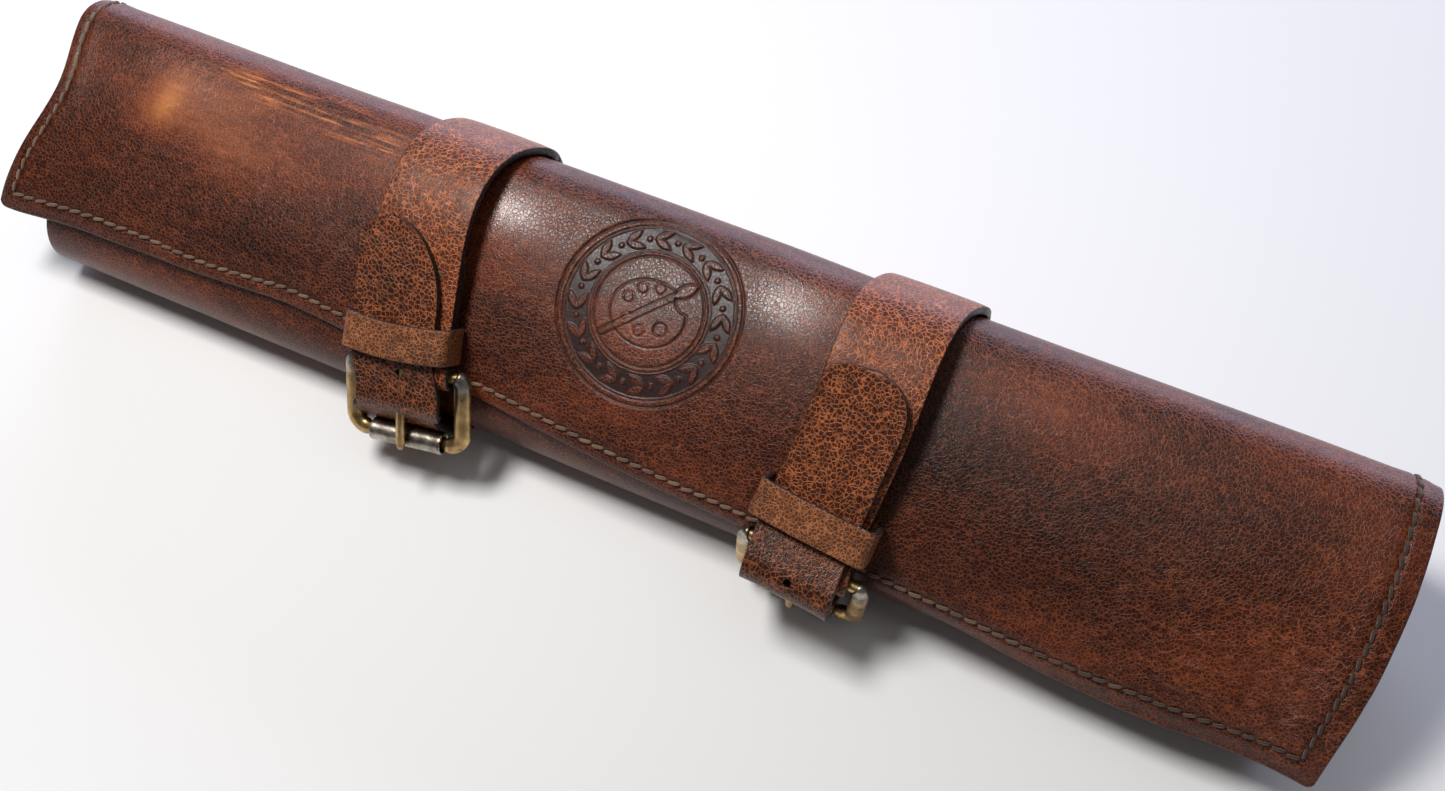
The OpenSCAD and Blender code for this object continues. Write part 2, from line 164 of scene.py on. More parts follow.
def soften(points, times):
    """Rounds a polyline's bends a little, with its ends held."""
    points = points.copy()
    for _ in range(times):
        points[1:-1] = (points[:-2] + 2 * points[1:-1] + points[2:]) / 4
    return points


def tangents(points):
    return unit(np.gradient(points, axis=0))


def bezier(a, b, c, d, count):
    """A cubic curve's points, without its first."""
    t = np.linspace(0, 1, count)[1:, None]
    return (1 - t) ** 3 * a + 3 * (1 - t) ** 2 * t * b + 3 * (1 - t) * t * t * c + t ** 3 * d


def bent(corners, radii):
    """A polyline with its corners rounded to radii."""
    corners = [np.asarray(c, float) for c in corners]
    path = [corners[0]]
    for before, corner, after, radius in zip(corners[:-2], corners[1:-1], corners[2:], radii):
        a, b = unit(before - corner), unit(after - corner)
        half = math.acos(np.clip(a @ b, -1, 1)) / 2
        centre = corner + unit(a + b) * radius / math.sin(half)
        first = corner + a * radius / math.tan(half) - centre
        last = corner + b * radius / math.tan(half) - centre
        sweep = math.acos(np.clip(first @ last / radius ** 2, -1, 1))
        for t in np.arange(13) / 12:
            turned = first * math.sin((1 - t) * sweep) + last * math.sin(t * sweep)
            path.append(centre + turned / math.sin(sweep))
    path.append(corners[-1])
    return np.array(path)


# ---- the section ---------------------------------------------------------------------------------

def face_centre():
    crest, toe = np.array(CREST_CENTRE), np.array(TOE_CENTRE)
    gap = np.linalg.norm(toe - crest)
    along = (toe - crest) / gap
    ra, rb = FACE_RADIUS - CREST_RADIUS, FACE_RADIUS - TOE_RADIUS
    a = (ra * ra - rb * rb + gap * gap) / (2 * gap)
    return crest + along * a + np.array([-along[1], along[0]]) * math.sqrt(ra * ra - a * a)


def direction_of(vector):
    return math.degrees(math.atan2(vector[1], vector[0]))


class Outline:
    """One turn round the closed flap's outer face, from the split on the back over the crest.

    s is the distance from the split, in millimetres; before 0 and after one turn it goes on."""

    def __init__(self):
        face = face_centre()
        heel, crest, toe = np.array(HEEL_CENTRE), np.array(CREST_CENTRE), np.array(TOE_CENTRE)
        rise = crest - heel
        lean = math.degrees(math.acos((HEEL_RADIUS - CREST_RADIUS) / np.linalg.norm(rise)))
        back = direction_of(rise) - lean
        start, end = direction_of(crest - face), direction_of(toe - face)
        arcs = [
            (heel, HEEL_RADIUS, -90, back), (crest, CREST_RADIUS, back, start),
            (face, FACE_RADIUS, start, end), (toe, TOE_RADIUS, end, 270), (heel, HEEL_RADIUS, 270, 270)]
        turns = [steps(low, high, 0.5) if high > low else np.array([high]) for _, _, low, high in arcs]
        self.angle = np.concatenate(turns)
        self.place = np.concatenate([
            centre + radius * ray(turn) for (centre, radius, _, _), turn in zip(arcs, turns)])
        self.length = lengths(self.place)
        self.turn = self.length[-1]
        rear = self.place[:, 0] > heel[0]
        rear[np.argmax(self.place[:, 1]):] = False
        self.split = float(np.interp(SPLIT_HEIGHT, self.place[rear, 1], self.length[rear]))

    def angle_at(self, s):
        t = np.asarray(s, float) + self.split
        turns = np.floor(t / self.turn)
        return np.interp(t - turns * self.turn, self.length, self.angle) + 360 * turns

    def point(self, s, outward=0.0):
        """Place (y, z) at s, at a distance outside the outline, and the outward direction there."""
        t = (np.asarray(s, float) + self.split) % self.turn
        normal = ray(np.interp(t, self.length, self.angle))
        place = np.stack([np.interp(t, self.length, self.place[:, k]) for k in (0, 1)], -1)
        place = place + normal * np.asarray(outward)[..., None] + np.array([SECTION_SHIFT, 0])
        return place, normal

    def s_of(self, angle):
        """s at a direction of the outward normal."""
        turns = math.floor((angle + 90) / 360)
        return float(np.interp(angle - 360 * turns, self.angle, self.length)) + turns * self.turn - self.split


OUTLINE = Outline()


def roll_depth(angle):
    """How far the rolled sheet lies below the outline: one pitch deeper with every turn."""
    return PITCH * (ease((HINGE_ANGLE - angle) / EASE_ANGLE) + ease((HINGE_ANGLE - 360 - angle) / EASE_ANGLE))


def in_space(x, section):
    return np.stack(np.broadcast_arrays(x, section[..., 0], section[..., 1]), -1)


# ---- meshes --------------------------------------------------------------------------------------

def new_object(name, data):
    piece = bpy.data.objects.new(name, data)
    bpy.context.scene.collection.objects.link(piece)
    return piece


def new_piece(name, points, faces):
    """A mesh object from points in millimetres."""
    mesh = bpy.data.meshes.new(name)
    mesh.from_pydata((points * 0.001).tolist(), [], faces)
    return new_object(name, mesh)


def dress(piece, flat=None, marks=None, sharp=None):
    """Gives a piece smooth shading, places on the flat leather in millimetres and marks, one value per
    point, for its material. An edge between two sharp points is a sharp edge."""
    mesh = piece.data
    mesh.polygons.foreach_set("use_smooth", np.ones(len(mesh.polygons), bool))
    if flat is not None:
        corners = np.empty(len(mesh.loops), int)
        mesh.loops.foreach_get("vertex_index", corners)
        layer = mesh.uv_layers.new(name="grain")
        layer.data.foreach_set("uv", (flat[corners] * 0.001).astype(np.float32).ravel())
    for key, values in (marks or {}).items():
        mesh.attributes.new(key, "FLOAT", "POINT").data.foreach_set("value", values.astype(np.float32))
    if sharp is not None:
        ends = np.empty(2 * len(mesh.edges), int)
        mesh.edges.foreach_get("vertices", ends)
        crease = sharp[ends].reshape(-1, 2).all(axis=1)
        mesh.attributes.new("sharp_edge", "BOOLEAN", "EDGE").data.foreach_set("value", crease)
    mesh.validate()
    mesh.update()
    return piece


def grid_faces(index, closed):
    a = index
    b = np.roll(index, -1, axis=1)
    if not closed:
        a, b = a[:, :-1], b[:, :-1]
    return np.stack([a[:-1], a[1:], b[1:], b[:-1]], -1).reshape(-1, 4)


def border_of(rows, columns, closed):
    """Loops of (row, column) round a grid: one when it is open, two when its columns close."""
    wide = range(columns)
    if closed:
        return [[(0, c) for c in wide], [(rows - 1, c) for c in reversed(wide)]]
    loop = [(0, c) for c in wide] + [(r, columns - 1) for r in range(1, rows)]
    loop += [(rows - 1, c) for c in range(columns - 2, -1, -1)] + [(r, 0) for r in range(rows - 2, 0, -1)]
    return [loop]


def sheet(name, outer, normal, thickness, uv, marks=None, closed=False, bulge=0.3, joined=None):
    """A sheet of leather from the grid of its outer face, with rounded edges all round.

    The mark "edge" is 1 on the cut edge. Other marks are given as grids. joined is 1 where the leather
    goes on in another piece, so its edge there is flat, sharp and unpainted."""
    rows, columns = outer.shape[:2]
    inner = outer - normal * thickness
    count = rows * columns
    index = np.arange(count).reshape(rows, columns)
    faces = [grid_faces(index, closed), grid_faces(index, closed)[:, ::-1] + count]
    points = [outer.reshape(-1, 3), inner.reshape(-1, 3)]
    flat = [uv.reshape(-1, 2)] * 2
    joined = np.zeros((rows, columns)) if joined is None else joined
    marks = marks or {}
    values = {"edge": [np.zeros(2 * count)]}
    values.update({key: [grid.ravel(), grid.ravel()] for key, grid in marks.items()})
    total = 2 * count
    for loop in border_of(rows, columns, closed):
        r, c = np.array(loop).T
        near_r = np.where(r == 0, 1, np.where(r == rows - 1, rows - 2, r))
        near_c = c if closed else np.where(c == 0, 1, np.where(c == columns - 1, columns - 2, c))
        outward = unit(2 * outer[r, c] - outer[near_r, c] - outer[r, near_c])
        spread = unit(2 * uv[r, c] - uv[near_r, c] - uv[r, near_c])
        rings = [index[r, c]]
        for turn in np.radians((30, 60, 90, 120, 150)):
            depth = (1 - math.cos(turn)) / 2
            out = math.sin(turn) * bulge * thickness * (1 - joined[r, c])[:, None]
            points.append(outer[r, c] * (1 - depth) + inner[r, c] * depth + outward * out)
            flat.append(uv[r, c] + spread * (depth * thickness + 0.1))
            values["edge"].append(1 - joined[r, c])
            for key in marks:
                values[key].append(marks[key][r, c])
            rings.append(np.arange(total, total + len(loop)))
            total += len(loop)
        rings.append(index[r, c] + count)
        for a, b in zip(rings[:-1], rings[1:]):
            faces.append(np.stack([a, np.roll(a, -1), np.roll(b, -1), b], -1))
    faces = np.concatenate(faces)
    du, dv = outer[1, 0] - outer[0, 0], outer[0, 1] - outer[0, 0]
    if np.dot(np.cross(du, dv), normal[0, 0]) < 0:
        faces = faces[:, ::-1]
    marks = {key: np.concatenate(parts) for key, parts in values.items()}
    sharp = np.concatenate([joined.ravel(), joined.ravel(), np.zeros(total - 2 * count)]) > 0
    return dress(new_piece(name, np.concatenate(points), faces.tolist()), np.concatenate(flat), marks, sharp)


def tube_arrays(path, radius, sides, across=(0.0, 0.0, 1.0), squash=1.0):
    """Points, faces and flat places of a round bar along a path, closed with a cap at each end."""
    side = unit(np.cross(tangents(path), across))
    up = unit(np.cross(side, tangents(path)))
    turn = np.linspace(0, 2 * math.pi, sides, endpoint=False)
    radius = np.broadcast_to(radius, len(path))
    rings = path[:, None] + radius[:, None, None] * (
        np.cos(turn)[None, :, None] * side[:, None] + squash * np.sin(turn)[None, :, None] * up[:, None])
    count = len(path) * sides
    index = np.arange(count).reshape(len(path), sides)
    faces = [list(face) for face in grid_faces(index, True)]
    for k in range(sides):
        faces.append([count, index[0, k], index[0, (k + 1) % sides]])
        faces.append([count + 1, index[-1, (k + 1) % sides], index[-1, k]])
    length = lengths(path)
    flat = np.stack(np.broadcast_arrays(length[:, None], turn), -1).reshape(-1, 2)
    flat = np.concatenate([flat, [[0, 0]], [[length[-1], 0]]])
    return np.concatenate([rings.reshape(-1, 3), path[:1], path[-1:]]), faces, flat


class Threads:
    """Gathers many short stitches into one mesh."""

    def __init__(self):
        self.points, self.faces, self.flat, self.tone, self.count = [], [], [], [], 0

    def add(self, start, end, up, lift, lean, radius, tone, sides=8):
        """A stitch between two holes: it leans, rises over the leather and dives at its ends."""
        t = np.linspace(0, 1, 9)[:, None]
        side = unit(np.cross(end - start, up))
        height = lift * (1 - (2 * t - 1) ** 4) - 0.35 * (2 * t - 1) ** 8
        path = start + (end - start) * t + up * height + side * lean * (2 * t - 1)
        points, faces, flat = tube_arrays(path, radius, sides)
        self.points.append(points)
        self.flat.append(flat)
        self.tone.append(np.full(len(points), tone))
        self.faces += [[v + self.count for v in face] for face in faces]
        self.count += len(points)

    def build(self, name):
        piece = new_piece(name, np.concatenate(self.points), self.faces)
        return dress(piece, np.concatenate(self.flat), {"tone": np.concatenate(self.tone)})


# ---- flap ----------------------------------------------------------------------------------------

# Waves of the flap's lower edge: middle, reach along the case and how far it drops
EDGE_WAVES = ((-185, 15, 1.2), (-92, 26, -1.7), (12, 36, 1.0), (90, 22, -0.7))

# Swells and hollows of the leather: middle (x, s), half sizes and rise
SWELLS = (
    (-150, 48, 16, 12, 0.9), (-178, 66, 10, 22, -0.7), (-44, 46, 14, 12, 1.0), (38, 44, 16, 12, 0.9),
    (-118, 84, 34, 7, -0.5), (150, 62, 22, 14, 0.6), (176, 84, 10, 16, -0.6), (100, 46, 24, 10, 0.4))

# Where a keeper slides over the flap: the middle (x, s) of its way
KEEPER_SPOTS = ((-57, 81), (61, 85))

# Soft patches of the pull-up leather's colour and of painted light: the orange spot and darker and lighter
# patches of tone, and lighter patches beside the left belt, beside the emblem and over the upper face, which
# are painted highlights and painted sheen. Each is its middle (x, s), half sizes and how light
TONE_AND_SHEEN_PATCHES = (
    (-150, 41, 20, 7, 0.12), (-151, 49, 6, 8, 0.24), (-156, 54, 9, 6, 0.16), (-130, 50, 42, 13, 0.19),
    (-178, 62, 14, 30, -0.14), (-125, 79, 34, 7, -0.20), (-165, 40, 10, 10, -0.08), (-46, 48, 10, 10, 0.16),
    (40, 42, 12, 8, 0.20), (-30, 76, 20, 12, -0.10), (45, 72, 22, 16, -0.12), (100, 42, 22, 7, 0.16),
    (120, 72, 44, 20, -0.22), (172, 52, 12, 16, 0.14), (150, 84, 26, 8, 0.06), (82, 66, 12, 22, -0.14))

# Patches where the wax has been scraped into streaks along the case
STREAKS = ((-112, 36, 30, 4.5, 0.62), (-88, 41, 12, 3.5, 0.35), (-38, 38, 20, 5, 0.22), (20, 37, 24, 4, 0.15))

# Patches polished by handling
SHINES = (
    (-48, 45, 10, 6, 1.0), (35, 40, 11, 8, 0.8), (-150, 40, 16, 7, 0.25), (178, 86, 8, 12, 0.4),
    (0, 56, 13, 13, 0.35))


def flap_edge_s(x):
    """s of the flap's lower edge. Its height falls from 28 mm over the table at the left end to 25.6 in
    the middle and 7 at the right end, with waves, and then it is lifted where the flap hangs."""
    t = x / HALF_LENGTH
    height = 25.6 - 10.4 * t - 7.9 * t * t
    for middle, reach, drop in EDGE_WAVES:
        height = height - drop * np.exp(-((x - middle) / reach) ** 2)
    height = height + 0.15 * noise(x / 11 + 3, x * 0, 4)
    front = OUTLINE.angle > 100
    low = np.interp(-height, -OUTLINE.place[front, 1], OUTLINE.length[front]) - OUTLINE.split
    return low - HANG_LIFT * ease((x - 90) / 100) ** 2


def end_shift(x, s):
    """How far the flap's two ends stray along x. The left end is pinched in at mid face and flares out
    below; the right end flares out a little at mid face and draws in below."""
    left = 0.7 + 4.2 * np.exp(-((s - 55) / 15) ** 2) - 3.8 * ease((s - 64) / 32)
    right = 1.2 * np.exp(-((s - 56) / 22) ** 2) - 2.6 * ease((s - 72) / 40)
    share = ease((np.abs(x) - 140) / 50) * ease(s / 12)
    return share * (np.where(x < 0, left, right) + 0.2 * noise(s / 17, x * 0 + 0.5, 5))


def seam_margin(x):
    """The seam's distance from the lower edge, which wanders a little."""
    return 3.5 + 2.4 * ease((x - 70) / 70) + 1.2 * ease((-120 - x) / 40) + 0.3 * noise(x / 24, x * 0 + 9, 6)


def seam_distance(x, s):
    """Distance on the flat leather from the seam along the flap's two ends and its lower edge."""
    side = HALF_LENGTH - np.where(x < 0, *END_MARGINS) - np.abs(x)
    return np.minimum(side, flap_edge_s(x) - seam_margin(x) - s)


def capsule(u, v, a, b, radius):
    """Signed distance to a bar with round ends."""
    a, b = np.array(a, float), np.array(b, float)
    d = b - a
    t = np.clip(((u - a[0]) * d[0] + (v - a[1]) * d[1]) / (d @ d), 0, 1)
    return np.hypot(u - a[0] - t * d[0], v - a[1] - t * d[1]) - radius


def leaf(u, v, centre, angle, length, width):
    """Signed distance, roughly, to a pointed leaf."""
    c, s = ray(angle)
    p = (u - centre[0]) * c + (v - centre[1]) * s
    q = -(u - centre[0]) * s + (v - centre[1]) * c
    return (np.abs(q) / width + (p / length) ** 2 - 1) * width * 0.8


def plateau(distance, soft):
    """1 inside a shape and 0 outside it, with a soft step at its outline."""
    return 1 - ease(distance / soft + 0.5)


def wreath(u, v):
    """Signed distance to a wreath: 16 beads with a pair of leaves after each."""
    shape = np.full_like(u, 9.0)
    for bead in 22.5 * np.arange(16):
        place = WREATH_RADIUS * ray(bead)
        shape = np.minimum(shape, np.hypot(u - place[0], v - place[1]) - 0.65)
        for lean, reach in ((28, 1.25), (-28, -1.25)):
            spot = (WREATH_RADIUS + reach) * ray(bead + 11.25)
            shape = np.minimum(shape, leaf(u, v, spot, bead + 101.25 + lean, 2.6, 0.95))
    return shape


def emblem(u, v):
    """Height and darkness of the pressed emblem: rings, a wreath of leaves and beads, and a palette
    with a brush. u runs along the case and v up the face, from the emblem's middle."""
    r = np.hypot(u, v)
    height = np.zeros_like(r)
    dark = np.zeros_like(r)
    for ring, width in ((EMBLEM_RADIUS - 0.6, 0.55), (EMBLEM_RADIUS - 2.3, 0.4), (15.6, 0.4), (14.4, 0.4)):
        groove = plateau(np.abs(r - ring) - width / 2, 0.5)
        height -= 0.42 * groove
        dark = np.maximum(dark, 0.8 * groove)
    band = plateau(np.abs(r - WREATH_RADIUS) - 3.1, 0.6)
    raised = plateau(wreath(u, v), 0.35) * band
    height += 0.42 * raised - 0.35 * band
    dark = np.maximum(dark, band) * (1 - 0.75 * raised)

    palette = np.hypot(u / 1.18, v + 0.6) - 8.6
    notch = np.hypot(u - 9.4, v - 6.4) - 4.2
    thumb = np.hypot(u - 4.6, v + 3.4) - 1.7
    palette = np.maximum(np.maximum(palette, -notch), -thumb)
    line = plateau(np.abs(palette) - 0.22, 0.4)
    height += 0.30 * plateau(palette, 0.5) - 0.34 * line
    dark = np.maximum(dark, 0.85 * line)
    for spot in ((-6.2, 1.6), (-4.6, -3.6), (-0.6, -5.6), (-3.6, 5.0), (0.9, 6.3)):
        dab = np.hypot(u - spot[0], v - spot[1]) - 1.15
        height += 0.22 * plateau(dab, 0.4) - 0.25 * plateau(np.abs(dab - 0.35) - 0.12, 0.3)

    brush = np.minimum(capsule(u, v, (-9.6, -9.0), (4.6, 5.2), 0.62), leaf(u, v, (7.3, 7.9), 45, 3.6, 1.35))
    over = height * (1 - plateau(brush, 0.5)) + 0.34 * plateau(brush, 0.4)
    height = np.where(brush < 0.45, over, height)
    rim = plateau(np.abs(brush - 0.35) - 0.15, 0.35)
    ferrule = plateau(np.abs(np.abs(u + v - 8.6) - 0.9) - 0.15, 0.3) * plateau(brush, 0.3)
    height -= 0.3 * rim + 0.2 * ferrule
    dark = np.maximum(dark, 0.85 * rim)
    inside = plateau(r - EMBLEM_RADIUS, 0.6)
    return height * inside - 0.12 * inside, dark * inside


def bump_at(x, s, place, size, power=1):
    """1 at a place (x, s) and falling off to 0 round it over its half sizes."""
    return np.exp(-(((x - place[0]) / size[0]) ** 2 + ((s - place[1]) / size[1]) ** 2) ** power)


def patches(x, s, table):
    return sum(amount * bump_at(x, s, patch[:2], patch[2:]) for *patch, amount in table)


def patch_tone(x, s):
    # The tone holds the patches' painted highlights and painted sheen as well as the leather's own colour
    tone = 0.43 + 0.10 * noise(x / 38 + 9, s / 16 + 2, 21) + 0.07 * noise(x / 14 + 5, s / 7 + 8, 22)
    return tone + patches(x, s, TONE_AND_SHEEN_PATCHES)


def flap_height(x, s):
    """Small rises and dips of the flap's outer face, which is flat under the emblem and the keepers."""
    height = 0.55 * noise(x / 75 + 2, s / 34 + 5, 11) + 0.22 * noise(x / 27 + 4, s / 15 + 1, 12)
    height = height * (1 - 0.8 * bump_at(x, s, (0, OUTLINE.s_of(EMBLEM_ANGLE)), (34, 34), 2))
    height = height + patches(x, s, SWELLS)
    for spot in KEEPER_SPOTS:
        near = bump_at(x, s, spot, (20, 15), 2)
        height = height * (1 - near) - 0.15 * near
    wrinkle = noise(x / 14 + s / 30, s / 3.4 - x / 16, 13) * 0.16
    height = height + wrinkle * ease((x - 95) / 60) * ease((s - 25) / 20)
    d = seam_distance(x, s)
    height = height - 0.34 * np.exp(-(d / 0.9) ** 2) + 0.16 * np.exp(-((d - 2.6) / 1.6) ** 2)
    height = height - 0.55 * ease((-1.0 - d) / 4.0)
    return height * ease(s / 12)


def flap_section(x, s):
    """Place and outward direction of the flap's face. Towards the right end the flap doesn't follow
    the roll's front but hangs straighter."""
    place, normal = OUTLINE.point(s)
    start = OUTLINE.s_of(HANG_ANGLE)
    first, out = OUTLINE.point(start)
    direction = ray(HANG_ANGLE + np.degrees(np.clip(s - start, 0, None) / HANG_RADIUS))
    hanging = first + HANG_RADIUS * (direction - out)
    share = (ease((x - 70) / 90) * (s > start))[..., None]
    return place + (hanging - place) * share, unit(normal + (direction - normal) * share)


def flap_point(x, s, outward=0.0):
    place, normal = flap_section(x, s)
    place = place + normal * (flap_height(x, s) + outward)[..., None]
    return in_space(x + end_shift(x, s), place), in_space(0 * x, normal)


def flap_lines():
    """Lines of the flap's grid: fine over the emblem and along the edges, coarse elsewhere."""
    half = EMBLEM_RADIUS + 1.2
    fine, coarse = 0.22, 1.8
    edge = 7.5
    border = steps(0, edge, 0.4)
    right = np.concatenate([
        steps(0, half, fine), steps(half, HALF_LENGTH - edge, coarse)[1:], HALF_LENGTH - edge + border[1:]])
    x = np.concatenate([-right[:0:-1], right])
    middle = OUTLINE.s_of(EMBLEM_ANGLE)
    top = np.concatenate([steps(0, middle - half, coarse), steps(middle - half, middle + half, fine)[1:]])
    low = flap_edge_s(x)[:, None] - edge
    between = top[-1] + (low - top[-1]) * np.linspace(0, 1, 14)[None, 1:]
    s = np.concatenate([np.broadcast_to(top, (len(x), len(top))), between, low + border[None, 1:]], axis=1)
    return np.broadcast_to(x[:, None], s.shape), s


def round_corners(x, s, radius):
    """Pulls the flap's two lower corners in to a radius."""
    a = radius - (HALF_LENGTH - np.abs(x))
    b = radius - (flap_edge_s(x) - s)
    corner = (a > 0) & (b > 0)
    share = np.where(corner, np.maximum(a, b) / np.maximum(np.hypot(a, b), 1e-6), 1)
    x = np.where(corner, np.sign(x) * (HALF_LENGTH - radius + a * share), x)
    return x, np.where(corner, flap_edge_s(x) - radius + b * share, s)


def thinned(count):
    """Every third index of a grid line, and its last."""
    return np.unique(np.append(np.arange(0, count, 3), count - 1))


def flap_pieces():
    x, s = round_corners(*flap_lines(), CORNER_RADIUS)
    outer, normal = flap_point(x, s)
    rise, dark = emblem(x, OUTLINE.s_of(EMBLEM_ANGLE) - s)
    outer = outer + normal * rise[..., None]
    wrinkle = ease((x - 105) / 55) * ease((s - 40) / 25) * ease(0.6 + noise(x / 22, s / 12, 24))
    marks = {"tone": patch_tone(x, s), "press": dark, "wrinkle": wrinkle, "streak": patches(x, s, STREAKS),
             "shine": patches(x, s, SHINES) * (1 - dark)}
    split = np.broadcast_to(np.arange(s.shape[1]) == 0, s.shape).astype(float)
    leather = sheet("case_flap", outer, normal, LEATHER, np.stack([x, s], -1), marks, joined=split)

    coarse = np.ix_(thinned(x.shape[0]), thinned(x.shape[1]))
    x, s = x[coarse], s[coarse]
    inner, out = flap_point(x, s, -LEATHER)
    tone = 0.5 + 0.25 * noise(x / 3, s / 3, 31)
    lining = sheet(
        "flap_suede", inner - out * 0.01, out, SUEDE, np.stack([x, s], -1), {"tone": tone}, bulge=0.45)
    return leather, lining


def seam_lines(step):
    """Holes of the seam: down the left end, along the lower edge and up the right end."""
    left, right = -HALF_LENGTH + END_MARGINS[0], HALF_LENGTH - END_MARGINS[1]
    low = steps(left, right, 0.5)
    low_s = flap_edge_s(low) - seam_margin(low)
    lines = (
        [(left, s) for s in steps(14, low_s[0], 0.5)], list(zip(low, low_s)),
        [(right, s) for s in steps(low_s[-1], 14, 0.5)])
    return [resample(line, step) for line in lines]


def flap_seam():
    """Slanted stitches on the leather, and finer ones that slant the other way on the suede."""
    threads = Threads()
    random = np.random.default_rng(41)
    swell = np.array([0.6, 0.85, 1, 1.04, 1, 1.02, 1, 0.85, 0.6])
    for line in seam_lines(STITCH_PITCH):
        for a, b in zip(line[:-1], line[1:]):
            gap = (b - a) * 0.06
            side = np.array([-gap[1], gap[0]]) / np.linalg.norm(gap)
            for outward, radius, share in ((0.0, 0.50, 1), (-(LEATHER + SUEDE), 0.40, -1)):
                ends = np.array([a + gap, b - gap]) + share * side * np.array([[0.34], [-0.34]])
                ends = ends + random.normal(0, 0.07, ends.shape)
                place, normal = flap_point(ends[:, 0], ends[:, 1], outward)
                up = unit(normal.mean(0)) * share
                lean = random.normal(0, 0.06)
                tone = 0.62 - 0.52 * float(ease((a[0] - 50) / 110)) + random.normal(0, 0.06)
                threads.add(place[0], place[1], up, 0.34, lean, radius * swell, tone)
    return threads.build("flap_seam")


# ---- rolled body ---------------------------------------------------------------------------------

def body_half(y):
    """Half the width of the rolled sheet, which is narrower towards the front."""
    return 177 + 13 * (y + 40) / 85


def rolled_sheet(name, s_from, s_to, x_from, x_to, below, thickness, step_x, seed, taper=True, bulge=0.3):
    """A layer of the roll. x_from and x_to are shares of its half width, or millimetres without taper."""
    s = steps(s_from, s_to, 1.5)
    place, normal = OUTLINE.point(s, -roll_depth(OUTLINE.angle_at(s)) - below)
    half = body_half(place[:, 0]) if taper else np.ones(len(s))
    x = steps(x_from, x_to, step_x)[None, :] * half[:, None]
    ripple = 0.18 * noise(x / 40 + seed, s[:, None] / 25 + 3, seed) * ease(-s[:, None] / 12)
    outer = in_space(x, place[:, None] + normal[:, None] * ripple[..., None])
    out = in_space(0 * x, np.broadcast_to(normal[:, None], x.shape + (2,)))
    s = np.broadcast_to(s[:, None], x.shape)
    tone = patch_tone(x, s) - 0.07 * ease(-s / 30)
    split = (s > -0.01).astype(float)
    return sheet(name, outer, out, thickness, np.stack([x, s], -1), {"tone": tone}, bulge=bulge, joined=split)


def body_pieces():
    """The rolled leather and its suede, and the pocket panel and the brush guard that lie on the suede."""
    last = OUTLINE.s_of(-600)
    fine = 3.0 / HALF_LENGTH
    leather = rolled_sheet("case_body", last, 0.0, -1, 1, 0, LEATHER, fine, 51)
    lining = rolled_sheet(
        "body_suede", last, 0.0, -0.9995, 0.9995, LEATHER, SUEDE, 2 * fine, 52, bulge=0.45)
    inner = [
        rolled_sheet(
            name, OUTLINE.s_of(angle_from), OUTLINE.s_of(angle_to), x_from, x_to,
            LEATHER + SUEDE + POCKET_GAP, POCKET_SHEET, 4.0, seed, taper=False)
        for name, angle_from, angle_to, x_from, x_to, seed in (
            ("pocket", -590, -362, -170, 40, 53), ("brush_guard", -560, -400, 88, 172, 54))]
    return leather, lining, *inner


def pocket_seams():
    threads = Threads()
    for s in np.linspace(OUTLINE.s_of(-584), OUTLINE.s_of(-368), 8):
        depth = roll_depth(OUTLINE.angle_at(s)) + LEATHER + SUEDE + POCKET_SHEET + POCKET_GAP
        place, normal = OUTLINE.point(s, -depth)
        up = -np.array([0, *normal])
        for x in np.arange(-166, 34, STITCH_PITCH):
            start, end = (np.array([k, *place]) for k in (x + 0.4, x + STITCH_PITCH - 0.4))
            threads.add(start, end, up, 0.28, 0.1, 0.34, 0.6, sides=6)
    return threads.build("pocket_seams")


# ---- belts ---------------------------------------------------------------------------------------

class Belt:
    """Where one belt lies. Its straight stretch has a frame at the heel bar: x across, w up, v out.

    It crosses the crest, the back and the underside at crest_x, back_x and foot_x. The tail leaves the
    underside at the direction leave, bulges to the point bulge (w, v), and goes reach past the keeper,
    which lies keep above the heel bar. Shifts are how far the belt, the keeper and the tail (at the
    roller, the keeper and its tip) lie to the right of the buckle's middle. The tip is its apex beside
    the middle, then for the left and the right side how long the curve is and how square its shoulder.
    The prong goes through the tail at hole. keeper is how loose the keeper is, how far its middle
    hangs and where on the hide it is cut."""

    def __init__(
            self, side, seed, crest_x, back_x, foot_x, keep, reach, leave, bulge, shifts, tip, hole, keeper):
        joints = {joint["name"]: joint for joint in frame["joints"]}
        self.side, self.seed = side, seed
        self.heel = np.array(joints[side + "_buckle_tilt"]["pos_m"]) * 1000
        self.across = -unit(joints[side + "_buckle_tilt"]["axis"])
        self.up = unit(joints[side + "_keeper_slide"]["axis"])
        self.out = unit(np.cross(self.across, self.up))
        roller = np.array(joints[side + "_roller_spin"]["pos_m"]) * 1000 - self.heel
        self.frame_reach = float(np.linalg.norm(roller))
        self.frame_down = roller / self.frame_reach
        self.frame_out = unit(np.cross(self.across, -self.frame_down))
        self.crest_x, self.back_x, self.foot_x = crest_x, back_x, foot_x
        self.keep, self.leave, self.bulge = keep, leave, bulge
        self.tip, self.tip_shape, self.hole = keep + KEEPER_LENGTH + reach, tip, hole
        self.belt_shift, self.keeper_shift, self.tail_shifts = shifts
        self.keeper_room, self.keeper_sag, self.keeper_hide = keeper

    def at(self, a, along, b, outward, x):
        a, b, x = (k[..., None] for k in np.broadcast_arrays(a, b, x))
        return self.heel + a * along + b * outward + x * self.across

    def place(self, w, v, x=0.0):
        return self.at(w, self.up, v, self.out, x)

    def in_buckle(self, down, out, x=0.0):
        """A place in the buckle's own frame, which leans away from the belt."""
        return self.at(down, self.frame_down, out, self.frame_out, x)


